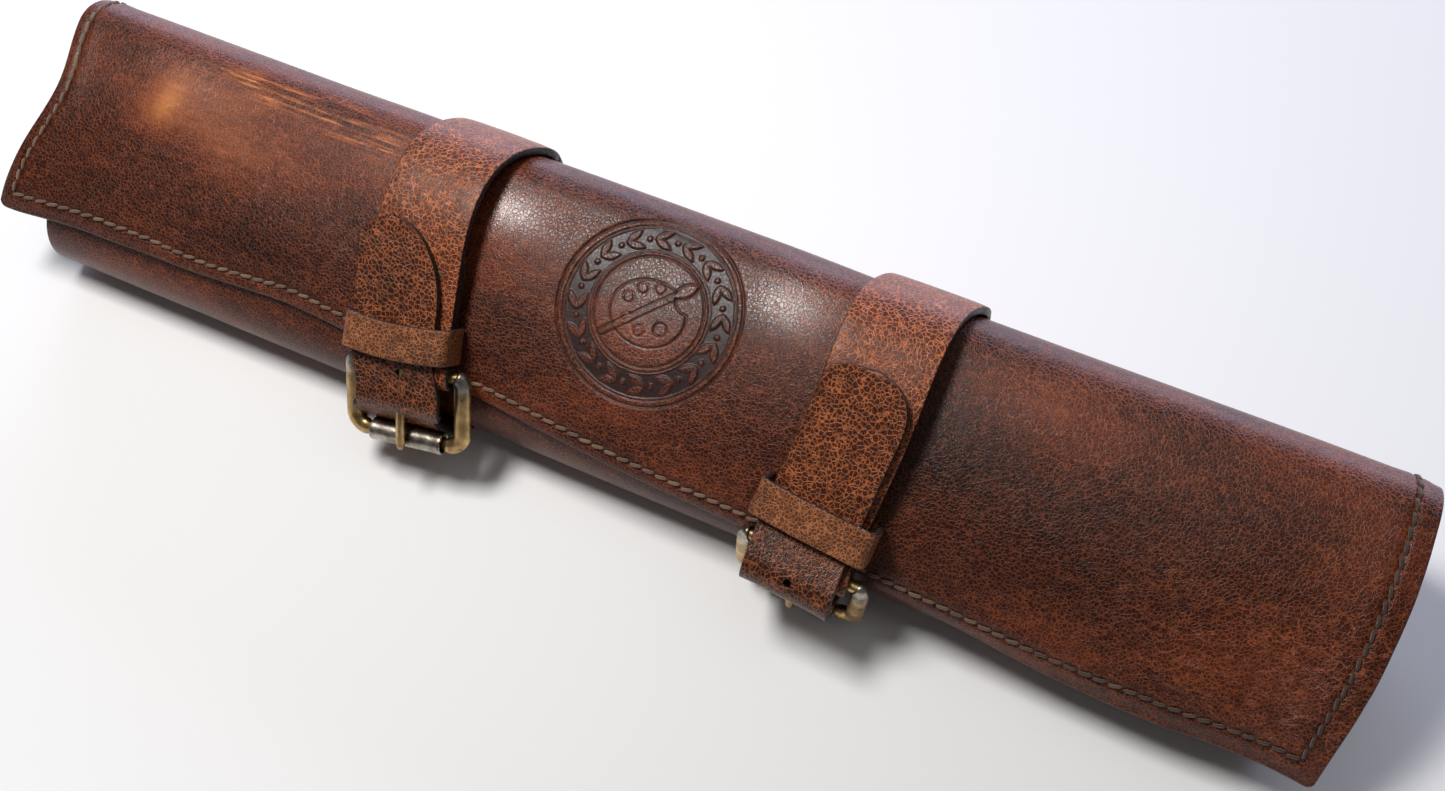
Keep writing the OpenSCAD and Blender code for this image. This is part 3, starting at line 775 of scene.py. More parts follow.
BELTS = (
    Belt("left", 61, -61.5, -57.5, -53.0, 3.5, 26.0, -132.0, (-10.5, 2.8), (-1.4, -2.0, (-0.2, -3.4, -5.2)),
         (-3.2, 6.5, 0.62, 22.0, 0.52), -1.0, (1.1, -1.1, 9.0)),
    Belt("right", 71, 62.0, 66.0, 58.5, 6.7, 35.0, -138.0, (-9.3, 8.8), (-1.3, -1.3, (-0.4, -2.0, -2.4)),
         (0.5, 6.5, 0.40, 12.0, 0.42), -4.5, (1.8, -0.2, 300.0)))


def ribbon(name, middle, across, half_width, seed, join=None, tone=0.5):
    """A belt along rows of middle points and directions across it, with its outer side on the left
    of the way it runs. join is the row, first or last, at which the leather goes on in another piece;
    lengths along the belt count from there."""
    outward = unit(np.cross(tangents(middle), across))[:, None]
    u = np.sin(np.linspace(-1, 1, 22) * math.pi / 2)[None]
    length = lengths(middle)
    length = (length - length[join or 0])[:, None]
    half = np.broadcast_to(half_width, len(middle))[:, None]
    x = u * half * (1 + 0.008 * noise(length / 14, length * 0 + seed, seed))
    wave = 0.10 * noise(x / 9 + seed, length / 12, seed + 1) * (1 - 0.2 * np.abs(u))
    crown = 0.22 * (1 - np.abs(u) ** 6) - 0.22
    outer = middle[:, None] + x[..., None] * across[:, None]
    outer = outer + (BELT_LEATHER / 2 + wave + crown)[..., None] * outward
    normal = np.broadcast_to(outward, outer.shape)
    uv = np.stack([x + 37.0 * seed, np.broadcast_to(length, x.shape)], -1)
    shade = np.reshape(tone, (-1, 1)) + 0.16 * noise(x / 18 + seed, length / 22, seed + 2)
    joined = np.zeros(x.shape)
    if join is not None:
        joined[join] = 1
    return sheet(name, outer, normal, BELT_LEATHER - 0.1, uv, {"tone": shade}, bulge=0.16, joined=joined)


def belt_line(s_from, s_to, step):
    """Middle line (y, z) of a belt that lies on the case."""
    s = steps(s_from, s_to, step)
    return OUTLINE.point(s, BASE_GAP + BELT_LEATHER / 2 - roll_depth(OUTLINE.angle_at(s)))[0]


def base_rows(belt):
    place = belt_line(OUTLINE.s_of(-118), OUTLINE.s_of(HINGE_ANGLE - 0.2), 1.2)
    share = np.clip((30 + SECTION_SHIFT - place[:, 0]) / 50, 0, 1)
    x = belt.back_x + (belt.foot_x - belt.back_x) * share
    return in_space(x, place), np.broadcast_to([1.0, 0, 0], (len(x), 3))


def fold_path():
    """The belt's end round the heel bar and back under itself, in w and v."""
    radius = HEEL_BAR / 2 + 0.05 + BELT_LEATHER / 2
    upper, lower = np.array([PLY_START, TOP_V]), np.array([PLY_START, RETURN_V])
    first = direction_of(upper) + math.degrees(math.acos(radius / np.linalg.norm(upper)))
    last = 360 + direction_of(lower) - math.degrees(math.acos(radius / np.linalg.norm(lower)))
    loop = radius * ray(np.linspace(first, last, 24))
    return np.concatenate([[upper], loop, [lower], [(PLY_END, RETURN_V)]])


def turned(belt, share):
    """Directions across a belt that turns from straight across the case to the buckle's own."""
    return unit(np.array([1.0, 0, 0]) * (1 - share) + belt.across * share)


def top_rows(belt):
    """The belt from the split over the crest, straight to the buckle, round its bar and back."""
    leave_angle, pull_share = 48.0, 0.42
    crest = belt_line(OUTLINE.s_of(HINGE_ANGLE + 0.2), OUTLINE.s_of(leave_angle), 1.2)
    drift = belt.crest_x - belt.back_x
    crest = in_space(belt.back_x + drift * 0.4 * np.linspace(0, 1, len(crest)) ** 2, crest)
    leave, arrive = crest[-1], belt.place(PLY_END, TOP_V, belt.belt_shift)
    pull = pull_share * np.linalg.norm(arrive - leave)
    forward = np.array([drift / 14, *ray(leave_angle + 90)])
    bridge = bezier(leave, leave + pull * forward, arrive + pull * belt.up, arrive, 30)
    w, v = fold_path().T
    fold = belt.place(w, v, belt.belt_shift * ease(w / PLY_START))
    path = resample(np.concatenate([crest, bridge, fold]), 1.0)
    start = np.argmin(np.linalg.norm(path - leave, axis=1))
    end = np.argmin(np.linalg.norm(path - arrive, axis=1))
    return path, turned(belt, ease((np.arange(len(path)) - start) / (end - start))[:, None])


def tail_rows(belt):
    """The tail from the underside up through the buckle and the keeper, and its path in w and v."""
    down = np.array([belt.frame_down @ belt.up, belt.frame_down @ belt.out])
    room = ROLLER_SIZE / 2 + BELT_LEATHER / 2 + 0.25
    behind = down * (belt.frame_reach - 1) + np.array([-down[1], down[0]]) * room
    foot = belt.heel[1:]
    flat_up, flat_out = unit(np.array([belt.out[2], -belt.out[1]])), belt.out[1:]
    toe = belt_line(OUTLINE.s_of(-119), OUTLINE.s_of(belt.leave), 1.0) - foot
    toe = np.stack([toe @ flat_up, toe @ flat_out], -1)
    corners = [toe[-1], behind, belt.bulge, (PLY_START + 1.5, TAIL_V), (belt.tip, TAIL_V)]
    path = np.concatenate([toe[:-1], bent(corners, (3, 4.5, 5))])
    path = soften(resample(path, 1.0), 3)
    share = ease((path[:, 1] - toe[-1, 1]) / (behind[1] - toe[-1, 1]))[:, None]
    unskewed = in_space(belt.foot_x, foot + path[:, :1] * flat_up + path[:, 1:] * flat_out)
    skewed = belt.place(path[:, 0], path[:, 1])
    return unskewed * (1 - share) + skewed * share, turned(belt, share), path


def tail_sides(belt, path):
    """How far the tail reaches to the left and to the right of its line, row by row."""
    apex, left_length, left_power, right_length, right_power = belt.tip_shape
    left_over = np.clip(belt.tip - path[:, 0], 0.02, None)
    near = (path[:, 1] > TAIL_V - 1.0) & (path[:, 0] > 10)
    half = TAIL_WIDTH / 2
    left_share = np.clip(left_over / left_length, 0, 1)
    right_share = np.clip(left_over / right_length, 0, 1)
    left = -apex + (half + apex) * (1 - (1 - left_share) ** 2) ** left_power
    right = apex + (half - apex) * (1 - (1 - right_share) ** 2) ** right_power
    return np.where(near, left, half), np.where(near, right, half)


def bar(start, end, radius, squash=1.0, across=(0.0, 0.0, 1.0)):
    points, faces, _ = tube_arrays(np.array([start, end], float), radius, 24, across, squash)
    return new_piece("bar", points, faces)


def cut(piece, *cutters):
    """Takes closed shapes out of a piece, and removes them from the scene."""
    for cutter in cutters:
        modifier = piece.modifiers.new("cut", "BOOLEAN")
        modifier.operation = "DIFFERENCE"
        modifier.solver = "EXACT"
        modifier.object = cutter
        with bpy.context.temp_override(object=piece):
            bpy.ops.object.modifier_apply(modifier=modifier.name)
        bpy.data.objects.remove(cutter)
    return piece


def belt_pieces(belt):
    """The belt's back, its upper part with a slot for the prong, and its tail with the prong's hole."""
    side, half = belt.side, BELT_WIDTH / 2
    base = ribbon(side + "_belt_back", *base_rows(belt), half, belt.seed, join=-1, tone=0.6)
    top = ribbon(side + "_belt", *top_rows(belt), half, belt.seed, join=0, tone=0.6)
    slot = bar(belt.place(-6, 0), belt.place(PLY_START + 0.3, 0), 3.0, squash=2.0, across=belt.out)

    middle, across, path = tail_rows(belt)
    left, right = tail_sides(belt, path)
    shift = np.interp(path[:, 0] * (path[:, 1] > 0), (-6, belt.keep, belt.tip), belt.tail_shifts)
    middle = middle + across * (shift + (right - left) / 2)[:, None]
    # Painted shade: the tail has a darker tone than the belt, and darker still below the keeper, where it
    # bends down behind the roller
    tone = 0.4 - 0.22 * ease((belt.keep + 2 - path[:, 0]) / 7)
    tail = ribbon(side + "_tail", middle, across, (left + right) / 2, belt.seed + 6, tone=tone)
    spot = belt.place(belt.hole, 0, belt.tail_shifts[0])
    hole = bar(spot, spot + belt.out * 20, 1.0)
    prong = bar(belt.in_buckle(0, 0), belt.in_buckle(belt.frame_reach + 2, 4.35), PRONG_SIZE / 2 + 0.5)
    return base, cut(top, slot), cut(tail, hole, prong)


def keeper_piece(belt):
    """A closed band round the belt and the tail, a little wavy and sagging in its middle."""
    low = RETURN_V - BELT_LEATHER / 2 - 0.6 - KEEPER_LEATHER
    high = TAIL_V + BELT_LEATHER / 2 + 1.4 + KEEPER_LEATHER
    half, corner = BELT_WIDTH / 2 + belt.keeper_room + KEEPER_LEATHER, 2.3
    path = []
    for turn, (x, v) in enumerate((
            (half - corner, high - corner), (-half + corner, high - corner),
            (-half + corner, low + corner), (half - corner, low + corner))):
        path += list((x, v) + corner * ray(90 * turn + np.linspace(0, 90, 9)))
    path = resample(np.array(path + path[:1]), 1.0)[:-1]
    normal = unit(np.roll(path, -1, 0) - np.roll(path, 1, 0))
    normal = np.stack([normal[:, 1], -normal[:, 0]], -1)
    x, v = path.T
    w = steps(0, KEEPER_LENGTH, 0.75)[:, None]
    arch = np.cos(x / half * math.pi / 2)
    wave = 0.18 * noise(x / 7 + 3, w / 6, 81)
    lean = belt.keeper_sag * arch + 0.25 * noise(x / 16, 2.5, 82)
    bow = 0.35 * arch * (v > 0)
    place = belt.place(
        belt.keep + w + lean, v + normal[:, 1] * (wave + bow), x + normal[:, 0] * wave + belt.keeper_shift)
    out = np.broadcast_to(normal[:, :1] * belt.across + normal[:, 1:] * belt.out, place.shape)
    uv = np.stack(np.broadcast_arrays(np.arange(len(path)) + belt.keeper_hide, w), -1)
    tone = 0.5 + 0.2 * noise(uv[..., 0] / 9, uv[..., 1] / 7, 83)
    return sheet(belt.side + "_loop", place, out, KEEPER_LEATHER, uv, {"tone": tone}, closed=True, bulge=0.2)


# ---- buckles -------------------------------------------------------------------------------------

def metal(name, path, radius, across, squash=1.0, steel=None):
    """A metal bar along a path. steel is how bare and grey the metal is, point by point."""
    sides = 20
    points, faces, _ = tube_arrays(path, radius, sides, across, squash)
    marks = {}
    if steel is not None:
        marks["steel"] = np.concatenate([np.repeat(steel, sides), steel[[0, -1]]])
    return dress(new_piece(name, points, faces), marks=marks)


def frame_piece(belt):
    """Two arms and the front bar in one wire, and the heel bar, thinner, between the arms' ends."""
    arm = FRAME_INSIDE / 2 + ARM_WIDTH / 2
    reach, corner, heel_corner, heel_stub = belt.frame_reach, FRAME_CORNER, 1.5, 1.6
    corners = [(0.0, -arm + heel_stub), (0.0, -arm), (reach, -arm), (reach, arm), (0.0, arm),
               (0.0, arm - heel_stub)]
    path = soften(resample(bent(corners, (heel_corner, corner, corner, heel_corner)), 0.7), 2)
    down, x = path.T
    under = (down > reach - 0.5) & (np.abs(x) < arm - corner - 1.0)
    radius = np.where(under, ARM_WIDTH / 2 - 0.9, ARM_WIDTH / 2)
    radius = soften(radius * (1 + 0.02 * noise(down / 3, x / 3, 91)), 2)
    steel = np.exp(-((down - 1.0) / 3.2) ** 2) * 0.9
    wire = belt.in_buckle(down, 0.0, x)
    heel = belt.in_buckle(0.0, 0.0, steps(-arm, arm, 1.0))
    return (
        metal(belt.side + "_buckle", wire, radius, belt.frame_out, squash=0.80, steel=steel),
        metal(belt.side + "_heel_bar", heel, HEEL_BAR / 2, belt.frame_out))


def roller_piece(belt):
    """A rolled tube with its seam slightly open, on the front bar."""
    half = FRAME_INSIDE / 2 - FRAME_CORNER + 0.6
    x = steps(-half, half, 0.8)[:, None]
    turn = np.linspace(100, 100 + 354, 60)
    radial = ray(turn) @ np.array([belt.frame_out, belt.frame_down])
    radius = ROLLER_SIZE / 2 - 0.05 + 0.08 * np.abs(x / half) ** 12
    outer = belt.in_buckle(belt.frame_reach, 0.0, x) + radial * radius[..., None]
    radial = np.broadcast_to(radial, outer.shape)
    uv = np.stack(np.broadcast_arrays(x, turn * 0.05), -1)
    steel = np.full(uv.shape[:2], 0.85)
    return sheet(belt.side + "_tube", outer, radial, 0.8, uv, {"steel": steel}, bulge=0.4)


def prong_piece(belt):
    """A bent wire: an eye round the heel bar and a shank whose tip lies on the roller."""
    eye = HEEL_BAR / 2 + 0.1 + PRONG_SIZE * 0.4
    rise = math.asin((ROLLER_SIZE / 2 + PRONG_SIZE / 2 + 0.05) / belt.frame_reach)
    tip = np.array([belt.frame_reach + 1.8, math.tan(rise) * belt.frame_reach - 0.1])
    loop = eye * ray(np.linspace(-150, 78, 26)) * (-1, 1)
    shank = bezier(loop[-1], loop[-1] + (5.0, 1.0), tip - (7.0, -0.35), tip, 20)
    path = resample(np.concatenate([loop, shank]), 0.6)
    along = np.linspace(0, 1, len(path))
    radius = PRONG_SIZE / 2 * np.interp(along, [0, 0.25, 0.9, 0.97, 1], [0.75, 0.82, 1, 0.9, 0.55])
    return metal(belt.side + "_tongue", belt.in_buckle(path[:, 0], path[:, 1]), radius, belt.across)


def anchor_seam(belt):
    """A box of stitches that holds the belt to the back."""
    threads = Threads()
    low, high, half = 24.0, 36.0, BELT_WIDTH / 2 - 4
    corners = np.array([(-half, low), (half, low), (half, high), (-half, high), (-half, low)])
    rear = (OUTLINE.length < OUTLINE.split + 12) & (OUTLINE.place[:, 0] > HEEL_CENTRE[0])
    for a, b in zip(corners[:-1], corners[1:]):
        line = resample([a, b], 3.4)
        for p, q in zip(line[:-1], line[1:]):
            x, z = np.array([p + (q - p) * 0.1, q - (q - p) * 0.1]).T
            s = np.interp(z, OUTLINE.place[rear, 1], OUTLINE.length[rear]) - OUTLINE.split
            place, normal = OUTLINE.point(s, BASE_GAP + BELT_LEATHER - 0.05)
            start, end = in_space(belt.back_x + x, place)
            threads.add(start, end, np.array([0, *normal[0]]), 0.3, 0.12, 0.36, 0.55)
    return threads.build(belt.side + "_anchor_seam")


def fold_seam(belt):
    """Two rows of stitches that close the belt's fold."""
    threads = Threads()
    half = BELT_WIDTH / 2 - 3
    faces = ((TOP_V + BELT_LEATHER / 2 - 0.25, belt.out), (RETURN_V - BELT_LEATHER / 2 + 0.15, -belt.out))
    for w in (20.4, 26.4):
        for x in np.arange(-half, half - 2, 3.1):
            for v, up in faces:
                start, end = (belt.place(w, v, x + belt.belt_shift + k) for k in (0.3, 2.8))
                threads.add(start, end, up, 0.26, 0.1, 0.3, 0.55)
    return threads.build(belt.side + "_fold_seam")


# ---- materials -----------------------------------------------------------------------------------

class Value:
    """A value that a node tree works out, for use in plain arithmetic."""

    def __init__(self, nodes, socket):
        self.nodes, self.socket = nodes, socket

    def __add__(self, other):
        return self.nodes.math("ADD", self, other)

    def __sub__(self, other):
        return self.nodes.math("SUBTRACT", self, other)

    def __rsub__(self, other):
        return self.nodes.math("SUBTRACT", other, self)

    def __mul__(self, other):
        return self.nodes.math("MULTIPLY", self, other)

    __radd__ = __add__
    __rmul__ = __mul__


class Nodes:
    """Short calls for building the node tree of a material or a world."""

    def __init__(self, owner):
        owner.use_nodes = True
        self.owner, self.tree = owner, owner.node_tree

    def put(self, socket, value):
        """Links a socket to what another node works out, or sets it to a plain number or colour."""
        value = getattr(value, "socket", value)
        if isinstance(value, bpy.types.NodeSocket):
            self.tree.links.new(value, socket)
        elif socket.type == "RGBA":
            socket.default_value = (*value, 1)
        else:
            socket.default_value = value

    def fill(self, node, **inputs):
        for key, value in inputs.items():
            self.put(node.inputs[key.replace("_", " ")], value)

    def add(self, kind, settings=None, values=(), **inputs):
        """A new node, with its inputs given in order or by name."""
        node = self.tree.nodes.new("ShaderNode" + kind)
        for key, value in (settings or {}).items():
            setattr(node, key, value)
        for socket, value in zip(node.inputs, values):
            self.put(socket, value)
        self.fill(node, **inputs)
        return node

    def get(self, output, kind, settings=None, values=(), **inputs):
        """One output of a new node."""
        return Value(self, self.add(kind, settings, values, **inputs).outputs[output])

    def math(self, operation, *values):
        return self.get("Value", "Math", {"operation": operation}, values)

    def step(self, value, low, high, start=0.0, end=1.0):
        """Goes smoothly from start to end as the value goes from low to high."""
        return self.get(
            "Result", "MapRange", {"interpolation_type": "SMOOTHSTEP"},
            Value=value, From_Min=low, From_Max=high, To_Min=start, To_Max=end)

    def mix(self, share, a, b):
        node = self.add("Mix", {"data_type": "RGBA"})
        for index, value in ((0, share), (6, a), (7, b)):
            self.put(node.inputs[index], value)
        return Value(self, node.outputs[2])

    def mark(self, name):
        return self.get("Fac", "Attribute", {"attribute_name": name})

    def ramp(self, value, stops):
        node = self.add("ValToRGB", values=[value])
        node.color_ramp.interpolation = "EASE"
        elements = node.color_ramp.elements
        while len(elements) < len(stops):
            elements.new(0.5)
        for element, (place, colour) in zip(elements, stops):
            element.position = place
            element.color = (*colour, 1)
        return Value(self, node.outputs[0])

    def flat(self, stretch=1.0, turn=0.0):
        """Coordinates on the flat leather in millimetres, stretched along the case and turned."""
        uv = self.add("UVMap", {"uv_map": "grain"}).outputs[0]
        scale = (1000 * stretch, 1000, 1000)
        return self.get("Vector", "Mapping", Vector=uv, Scale=scale, Rotation=(0, 0, turn))

    def noise(self, vector, scale, detail, roughness, distortion=0.0, output="Fac"):
        return self.get(
            output, "TexNoise", Vector=vector, Scale=scale, Detail=detail, Roughness=roughness,
            Distortion=distortion)

    def creases(self, vector, scale):
        """Distance to the nearest line between pebbles."""
        return self.get("Distance", "TexVoronoi", {"feature": "DISTANCE_TO_EDGE"}, Vector=vector, Scale=scale)

    def warp(self, vector, amount, scale):
        """Coordinates pushed about by noise."""
        push = self.noise(vector, scale, 2.0, 0.55, output="Color")
        push = self.get("Vector", "VectorMath", {"operation": "SUBTRACT"}, (push, (0.5, 0.5, 0.5)))
        push = self.get("Vector", "VectorMath", {"operation": "SCALE"}, (push,), Scale=amount)
        return self.get("Vector", "VectorMath", {"operation": "ADD"}, (vector, push))

    def camera_ray(self):
        return self.get("Is Camera Ray", "LightPath")

    def finish(self, height, distance, strength, **inputs):
        """Fills in the material's shader and its bump."""
        bump = self.add("Bump", Height=height, Distance=distance, Strength=strength)
        self.fill(self.tree.nodes["Principled BSDF"], Normal=bump.outputs[0], **inputs)
        return self.owner


def leather_material(
        name, stops, crease, cell, width, crackle, roughness=0.28, edge=(0.010, 0.007, 0.006)):
    """Waxed pull-up leather: dark pebbles, lighter creases between them and dark painted edges.

    stops are its colours from dark to light, crease and edge are the creases' and the edges'. cell is a
    pebble's size, width the creases' width as a share of it and crackle how clear they are."""
    n = Nodes(bpy.data.materials.new(name))
    flat = n.flat()
    grit = n.noise(flat, 3.0, 4.0, 0.7)
    cloud = n.noise(n.flat(0.55), 0.06, 5.0, 0.6)
    streak = n.noise(n.flat(0.18), 0.55, 4.0, 0.62)
    scratch = n.noise(n.flat(0.05), 1.1, 3.0, 0.6)

    # Its base colour, from the tone mark, which also holds painted highlights and sheen on the flap and
    # painted shade on the tails
    tone = n.mark("tone") + (cloud - 0.5) * 0.50 + (streak - 0.5) * 0.30 + (grit - 0.5) * 0.20
    tone = tone + n.mark("streak") * n.step(scratch, 0.40, 0.68, -0.25, 1.0)
    colour = n.ramp(tone, stops)

    # Creases between the pebbles, wide ones and thin ones inside them
    warped = n.warp(n.warp(flat, 0.5 * cell, 0.5 / cell), 0.3 * cell, 2.0 / cell)
    wide = n.step(n.creases(warped, 1 / cell), 0.0, width, 1.0, 0.0)
    thin = n.step(n.creases(warped, 2.4 / cell), 0.0, 1.4 * width, 1.0, 0.0)
    shown = n.step(n.noise(flat, 0.30, 4.0, 0.65), 0.30, 0.62, 0.35, 1.0)
    lines = n.math("MAXIMUM", wide, thin * 0.25) * shown
    colour = n.mix(lines * crackle * n.step(tone, 0.05, 0.6, 0.45, 1.0), colour, crease)

    # Long wrinkles where they are marked
    ridge = n.noise(n.flat(0.55), 0.16, 5.0, 0.55, 1.4)
    ridge = n.step(n.math("ABSOLUTE", ridge - 0.5), 0.0, 0.016, 1.0, 0.0) * n.mark("wrinkle")
    colour = n.mix(ridge * 0.5, colour, crease)

    # Pressed and polished places, and the painted edge
    press, shine = n.mark("press"), n.mark("shine")
    colour = n.mix(press * 0.85, colour, (0.017, 0.011, 0.011))
    worn = n.step(n.noise(flat, 0.9, 3.0, 0.7), 0.58, 0.70)
    paint = n.mix(worn, edge, tuple(14 * k for k in edge))
    colour = n.mix(n.step(n.mark("edge"), 0.25, 0.8), colour, paint)

    # Relief and roughness
    low = wide * -0.9 + thin * -0.35 + grit * 0.22 - ridge * 1.2
    rough = roughness + (grit - 0.5) * 0.26 + lines * 0.12 + press * 0.06 - shine * 0.05
    return n.finish(
        low, 0.00006, 0.9 - (shine * 0.45 + press * 0.6), Base_Color=colour, Roughness=rough,
        Specular_IOR_Level=0.34 + shine * 0.80)


def suede_material():
    n = Nodes(bpy.data.materials.new("suede"))
    nap = n.noise(n.flat(), 2.6, 5.0, 0.75)
    sweep = n.noise(n.flat(), 0.12, 3.0, 0.6, 1.5)
    colour = n.ramp(nap * 0.6 + sweep * 0.5, (
        (0.25, (0.075, 0.052, 0.040)), (0.55, (0.16, 0.115, 0.088)), (0.85, (0.26, 0.20, 0.155))))
    return n.finish(
        nap, 0.0002, 0.9, Base_Color=colour, Roughness=0.95, Specular_IOR_Level=0.15, Sheen_Weight=0.5,
        Sheen_Roughness=0.5)


def thread_material():
    """Waxed thread, whose plies are slanted bands round each stitch, with painted shade in the grooves
    between them.
    """
    n = Nodes(bpy.data.materials.new("thread"))
    ply = n.get("Fac", "TexWave", {"wave_type": "BANDS"}, Vector=n.flat(turn=0.9), Scale=0.55, Distortion=0.6)
    colour = n.ramp(n.mark("tone"), (
        (0.1, (0.055, 0.026, 0.014)), (0.45, (0.17, 0.095, 0.055)), (0.75, (0.32, 0.190, 0.108))))
    # Painted shade: darker in the grooves between the plies
    colour = n.mix((1.0 - ply) * 0.6, colour, (0.05, 0.028, 0.016))
    return n.finish(ply, 0.0002, 0.8, Base_Color=colour, Roughness=0.6, Sheen_Weight=0.2)


def brass_material():
    """Antique brass in yellow and brown clouds, worn to grey metal where it is marked as steel."""
    n = Nodes(bpy.data.materials.new("antique_brass"))
    where = n.get("Object", "TexCoord")
    cloud = n.noise(where, 260.0, 5.0, 0.65)
    fine = n.noise(where, 1500.0, 4.0, 0.7)
    colour = n.ramp(cloud, (
        (0.30, (0.13, 0.080, 0.035)), (0.46, (0.42, 0.27, 0.115)), (0.66, (0.66, 0.46, 0.21))))
    grey = n.ramp(cloud, ((0.35, (0.12, 0.11, 0.095)), (0.65, (0.46, 0.44, 0.40))))
    return n.finish(
        fine, 0.0001, 0.25, Base_Color=n.mix(n.mark("steel"), colour, grey), Metallic=1.0,
        Roughness=0.30 + (fine - 0.4) * 0.35)


CASE_COLOURS = (
    (0.05, (0.006, 0.0012, 0.0008)), (0.36, (0.022, 0.0034, 0.0014)), (0.58, (0.078, 0.0145, 0.0045)),
    (0.80, (0.21, 0.056, 0.015)), (1.0, (0.52, 0.18, 0.045)))
BELT_COLOURS = (
    (0.10, (0.009, 0.002, 0.0015)), (0.45, (0.028, 0.0055, 0.003)), (0.75, (0.085, 0.019, 0.008)),
    (1.0, (0.23, 0.064, 0.020)))
KEEPER_COLOURS = (
    (0.10, (0.020, 0.0052, 0.0022)), (0.5, (0.088, 0.0255, 0.0085)), (0.9, (0.22, 0.074, 0.025)))
POCKET_COLOURS = ((0.10, (0.05, 0.020, 0.011)), (0.5, (0.12, 0.050, 0.025)), (0.9, (0.22, 0.10, 0.050)))

MATERIALS = {
    "case_leather": leather_material("case_leather", CASE_COLOURS, (0.46, 0.112, 0.032), 1.0, 0.14, 0.50),
    "belt_leather": leather_material("belt_leather", BELT_COLOURS, (0.64, 0.185, 0.056), 1.22, 0.13, 0.84),
    "keeper_leather": leather_material(
        "keeper_leather", KEEPER_COLOURS, (0.58, 0.21, 0.075), 1.00, 0.14, 0.85, 0.38, (0.030, 0.022, 0.020)),
    "pocket_leather": leather_material(
        "pocket_leather", POCKET_COLOURS, (0.28, 0.14, 0.08), 1.2, 0.25, 0.25, 0.62),
    "suede": suede_material(),
    "thread": thread_material(),
    "antique_brass": brass_material(),
}


# ---- putting it together -------------------------------------------------------------------------

def finish_piece(piece, slot, *nodes):
    piece.data.materials.clear()
    piece.data.materials.append(MATERIALS[slot])
    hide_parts(*nodes)


def rides(piece, body, slot, *nodes):
    finish_piece(piece, slot, *nodes)
    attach(piece, body)


def bends(piece, slot, *nodes):
    """A piece of the flap: gives it its material, hides its CAD nodes and bakes its placement into its mesh.
    """
    finish_piece(piece, slot, *nodes)
    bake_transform(piece)


flap, flap_lining = flap_pieces()
bends(flap, "case_leather", "flap_leather")
bends(flap_lining, "suede", "flap_lining")
bends(flap_seam(), "thread", "flap_stitching")
body, body_lining, pocket, guard = body_pieces()
rides(body, "root", "case_leather", "roll_leather")
rides(body_lining, "root", "suede", "roll_lining")
rides(pocket, "root", "pocket_leather", "pocket_panel")
rides(guard, "root", "suede", "tip_guard")
rides(pocket_seams(), "root", "thread", "pocket_stitching")
for belt in BELTS:
    side = belt.side
    base, top, tail = belt_pieces(belt)
    rides(base, "root", "belt_leather", side + "_belt_base")
    rides(top, side + "_belt", "belt_leather", side + "_belt_top")
    rides(tail, side + "_tail", "belt_leather", side + "_belt_tail")
    rides(keeper_piece(belt), side + "_keeper", "keeper_leather", side + "_keeper")
    for wire in frame_piece(belt):
        rides(wire, side + "_buckle", "antique_brass", side + "_buckle_frame")
    rides(roller_piece(belt), side + "_roller", "antique_brass", side + "_roller")
    rides(prong_piece(belt), side + "_prong", "antique_brass", side + "_prong")
    rides(anchor_seam(belt), "root", "thread", side + "_anchor_stitching")
    rides(fold_seam(belt), side + "_belt", "thread", side + "_fold_stitching")


# ---- floor, light and camera, in metres ----------------------------------------------------------

BACKDROP = (0.80, 0.81, 0.83)


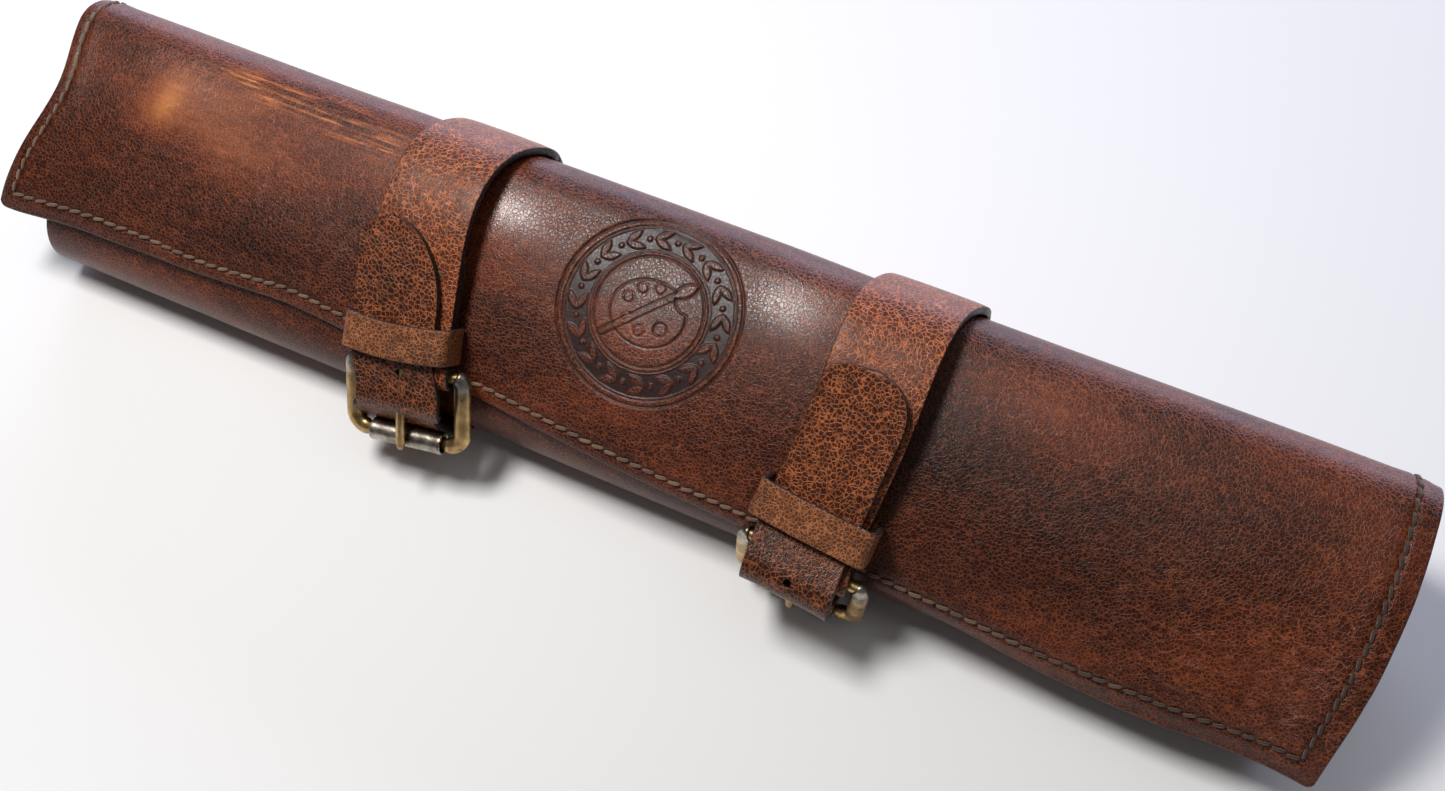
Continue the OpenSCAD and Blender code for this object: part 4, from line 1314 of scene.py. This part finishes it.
def floor():
    """A pale floor. The camera sees it, far off, as pale as the world behind it."""
    n = Nodes(bpy.data.materials.new("pale_floor"))
    shader = n.tree.nodes["Principled BSDF"]
    n.fill(shader, Base_Color=(0.90, 0.90, 0.895), Roughness=0.9)
    place = n.get("Position", "NewGeometry")
    distance = n.get("Value", "VectorMath", {"operation": "LENGTH"}, (place,))
    seen = n.step(distance, 0.5, 1.6) * n.camera_ray()
    glow = n.add("Emission", Color=BACKDROP)
    mix = n.add("MixShader", values=(seen, shader.outputs[0], glow.outputs[0]))
    n.fill(n.tree.nodes["Material Output"], Surface=mix.outputs[0])
    size = 6000.0
    corners = np.array([(-size, -size, 0), (size, -size, 0), (size, size, 0), (-size, size, 0)])
    piece = new_piece("floor", corners, [(0, 1, 2, 3)])
    piece.data.materials.append(n.owner)


def area_light(name, place, target, size, power, colour):
    light = bpy.data.lights.new(name, "AREA")
    light.shape = "RECTANGLE"
    light.size, light.size_y = size
    light.energy = power
    light.color = colour
    piece = new_object(name, light)
    piece.location = place
    aim = Vector(target) - Vector(place)
    piece.rotation_euler = aim.to_track_quat("-Z", "Y").to_euler()


def camera(place, azimuth, elevation, lens):
    """Seen from above, a little to the right, across the face."""
    azimuth, elevation = math.radians(azimuth), math.radians(elevation)
    back = Vector((
        math.sin(azimuth) * math.cos(elevation), -math.cos(azimuth) * math.cos(elevation),
        math.sin(elevation)))
    right = Vector((math.cos(azimuth), math.sin(azimuth), 0))
    data = bpy.data.cameras.new("camera")
    data.lens = lens
    data.sensor_width = 36.0
    matrix = Matrix((right, back.cross(right), back)).transposed().to_4x4()
    matrix.translation = Vector(place)
    piece = new_object("camera", data)
    piece.matrix_world = matrix
    bpy.context.scene.camera = piece


def world():
    """A dim world that the camera sees as a pale backdrop."""
    n = Nodes(bpy.data.worlds.new("studio"))
    strength = n.get("Result", "MapRange", Value=n.camera_ray(), To_Min=0.12, To_Max=1.0)
    n.fill(n.tree.nodes["Background"], Color=BACKDROP, Strength=strength)
    bpy.context.scene.world = n.owner


floor()
area_light("key", (-0.23, -0.06, 0.70), (0.0, 0, 0.03), (0.25, 0.16), 4.6, (1.0, 0.98, 0.97))
area_light("sky", (-0.1, 1.2, 0.34), (0, 0, 0.05), (2.4, 0.5), 22, (0.70, 0.74, 1.0))
area_light("top", (0.45, 0.10, 1.1), (0.1, 0, 0.02), (0.8, 0.8), 1.0, (1.0, 0.99, 0.98))
world()
camera((0.11071, -0.19108, 0.36092), 25.0, 57.6, 37.56)
bpy.context.scene.view_settings.view_transform = "Standard"
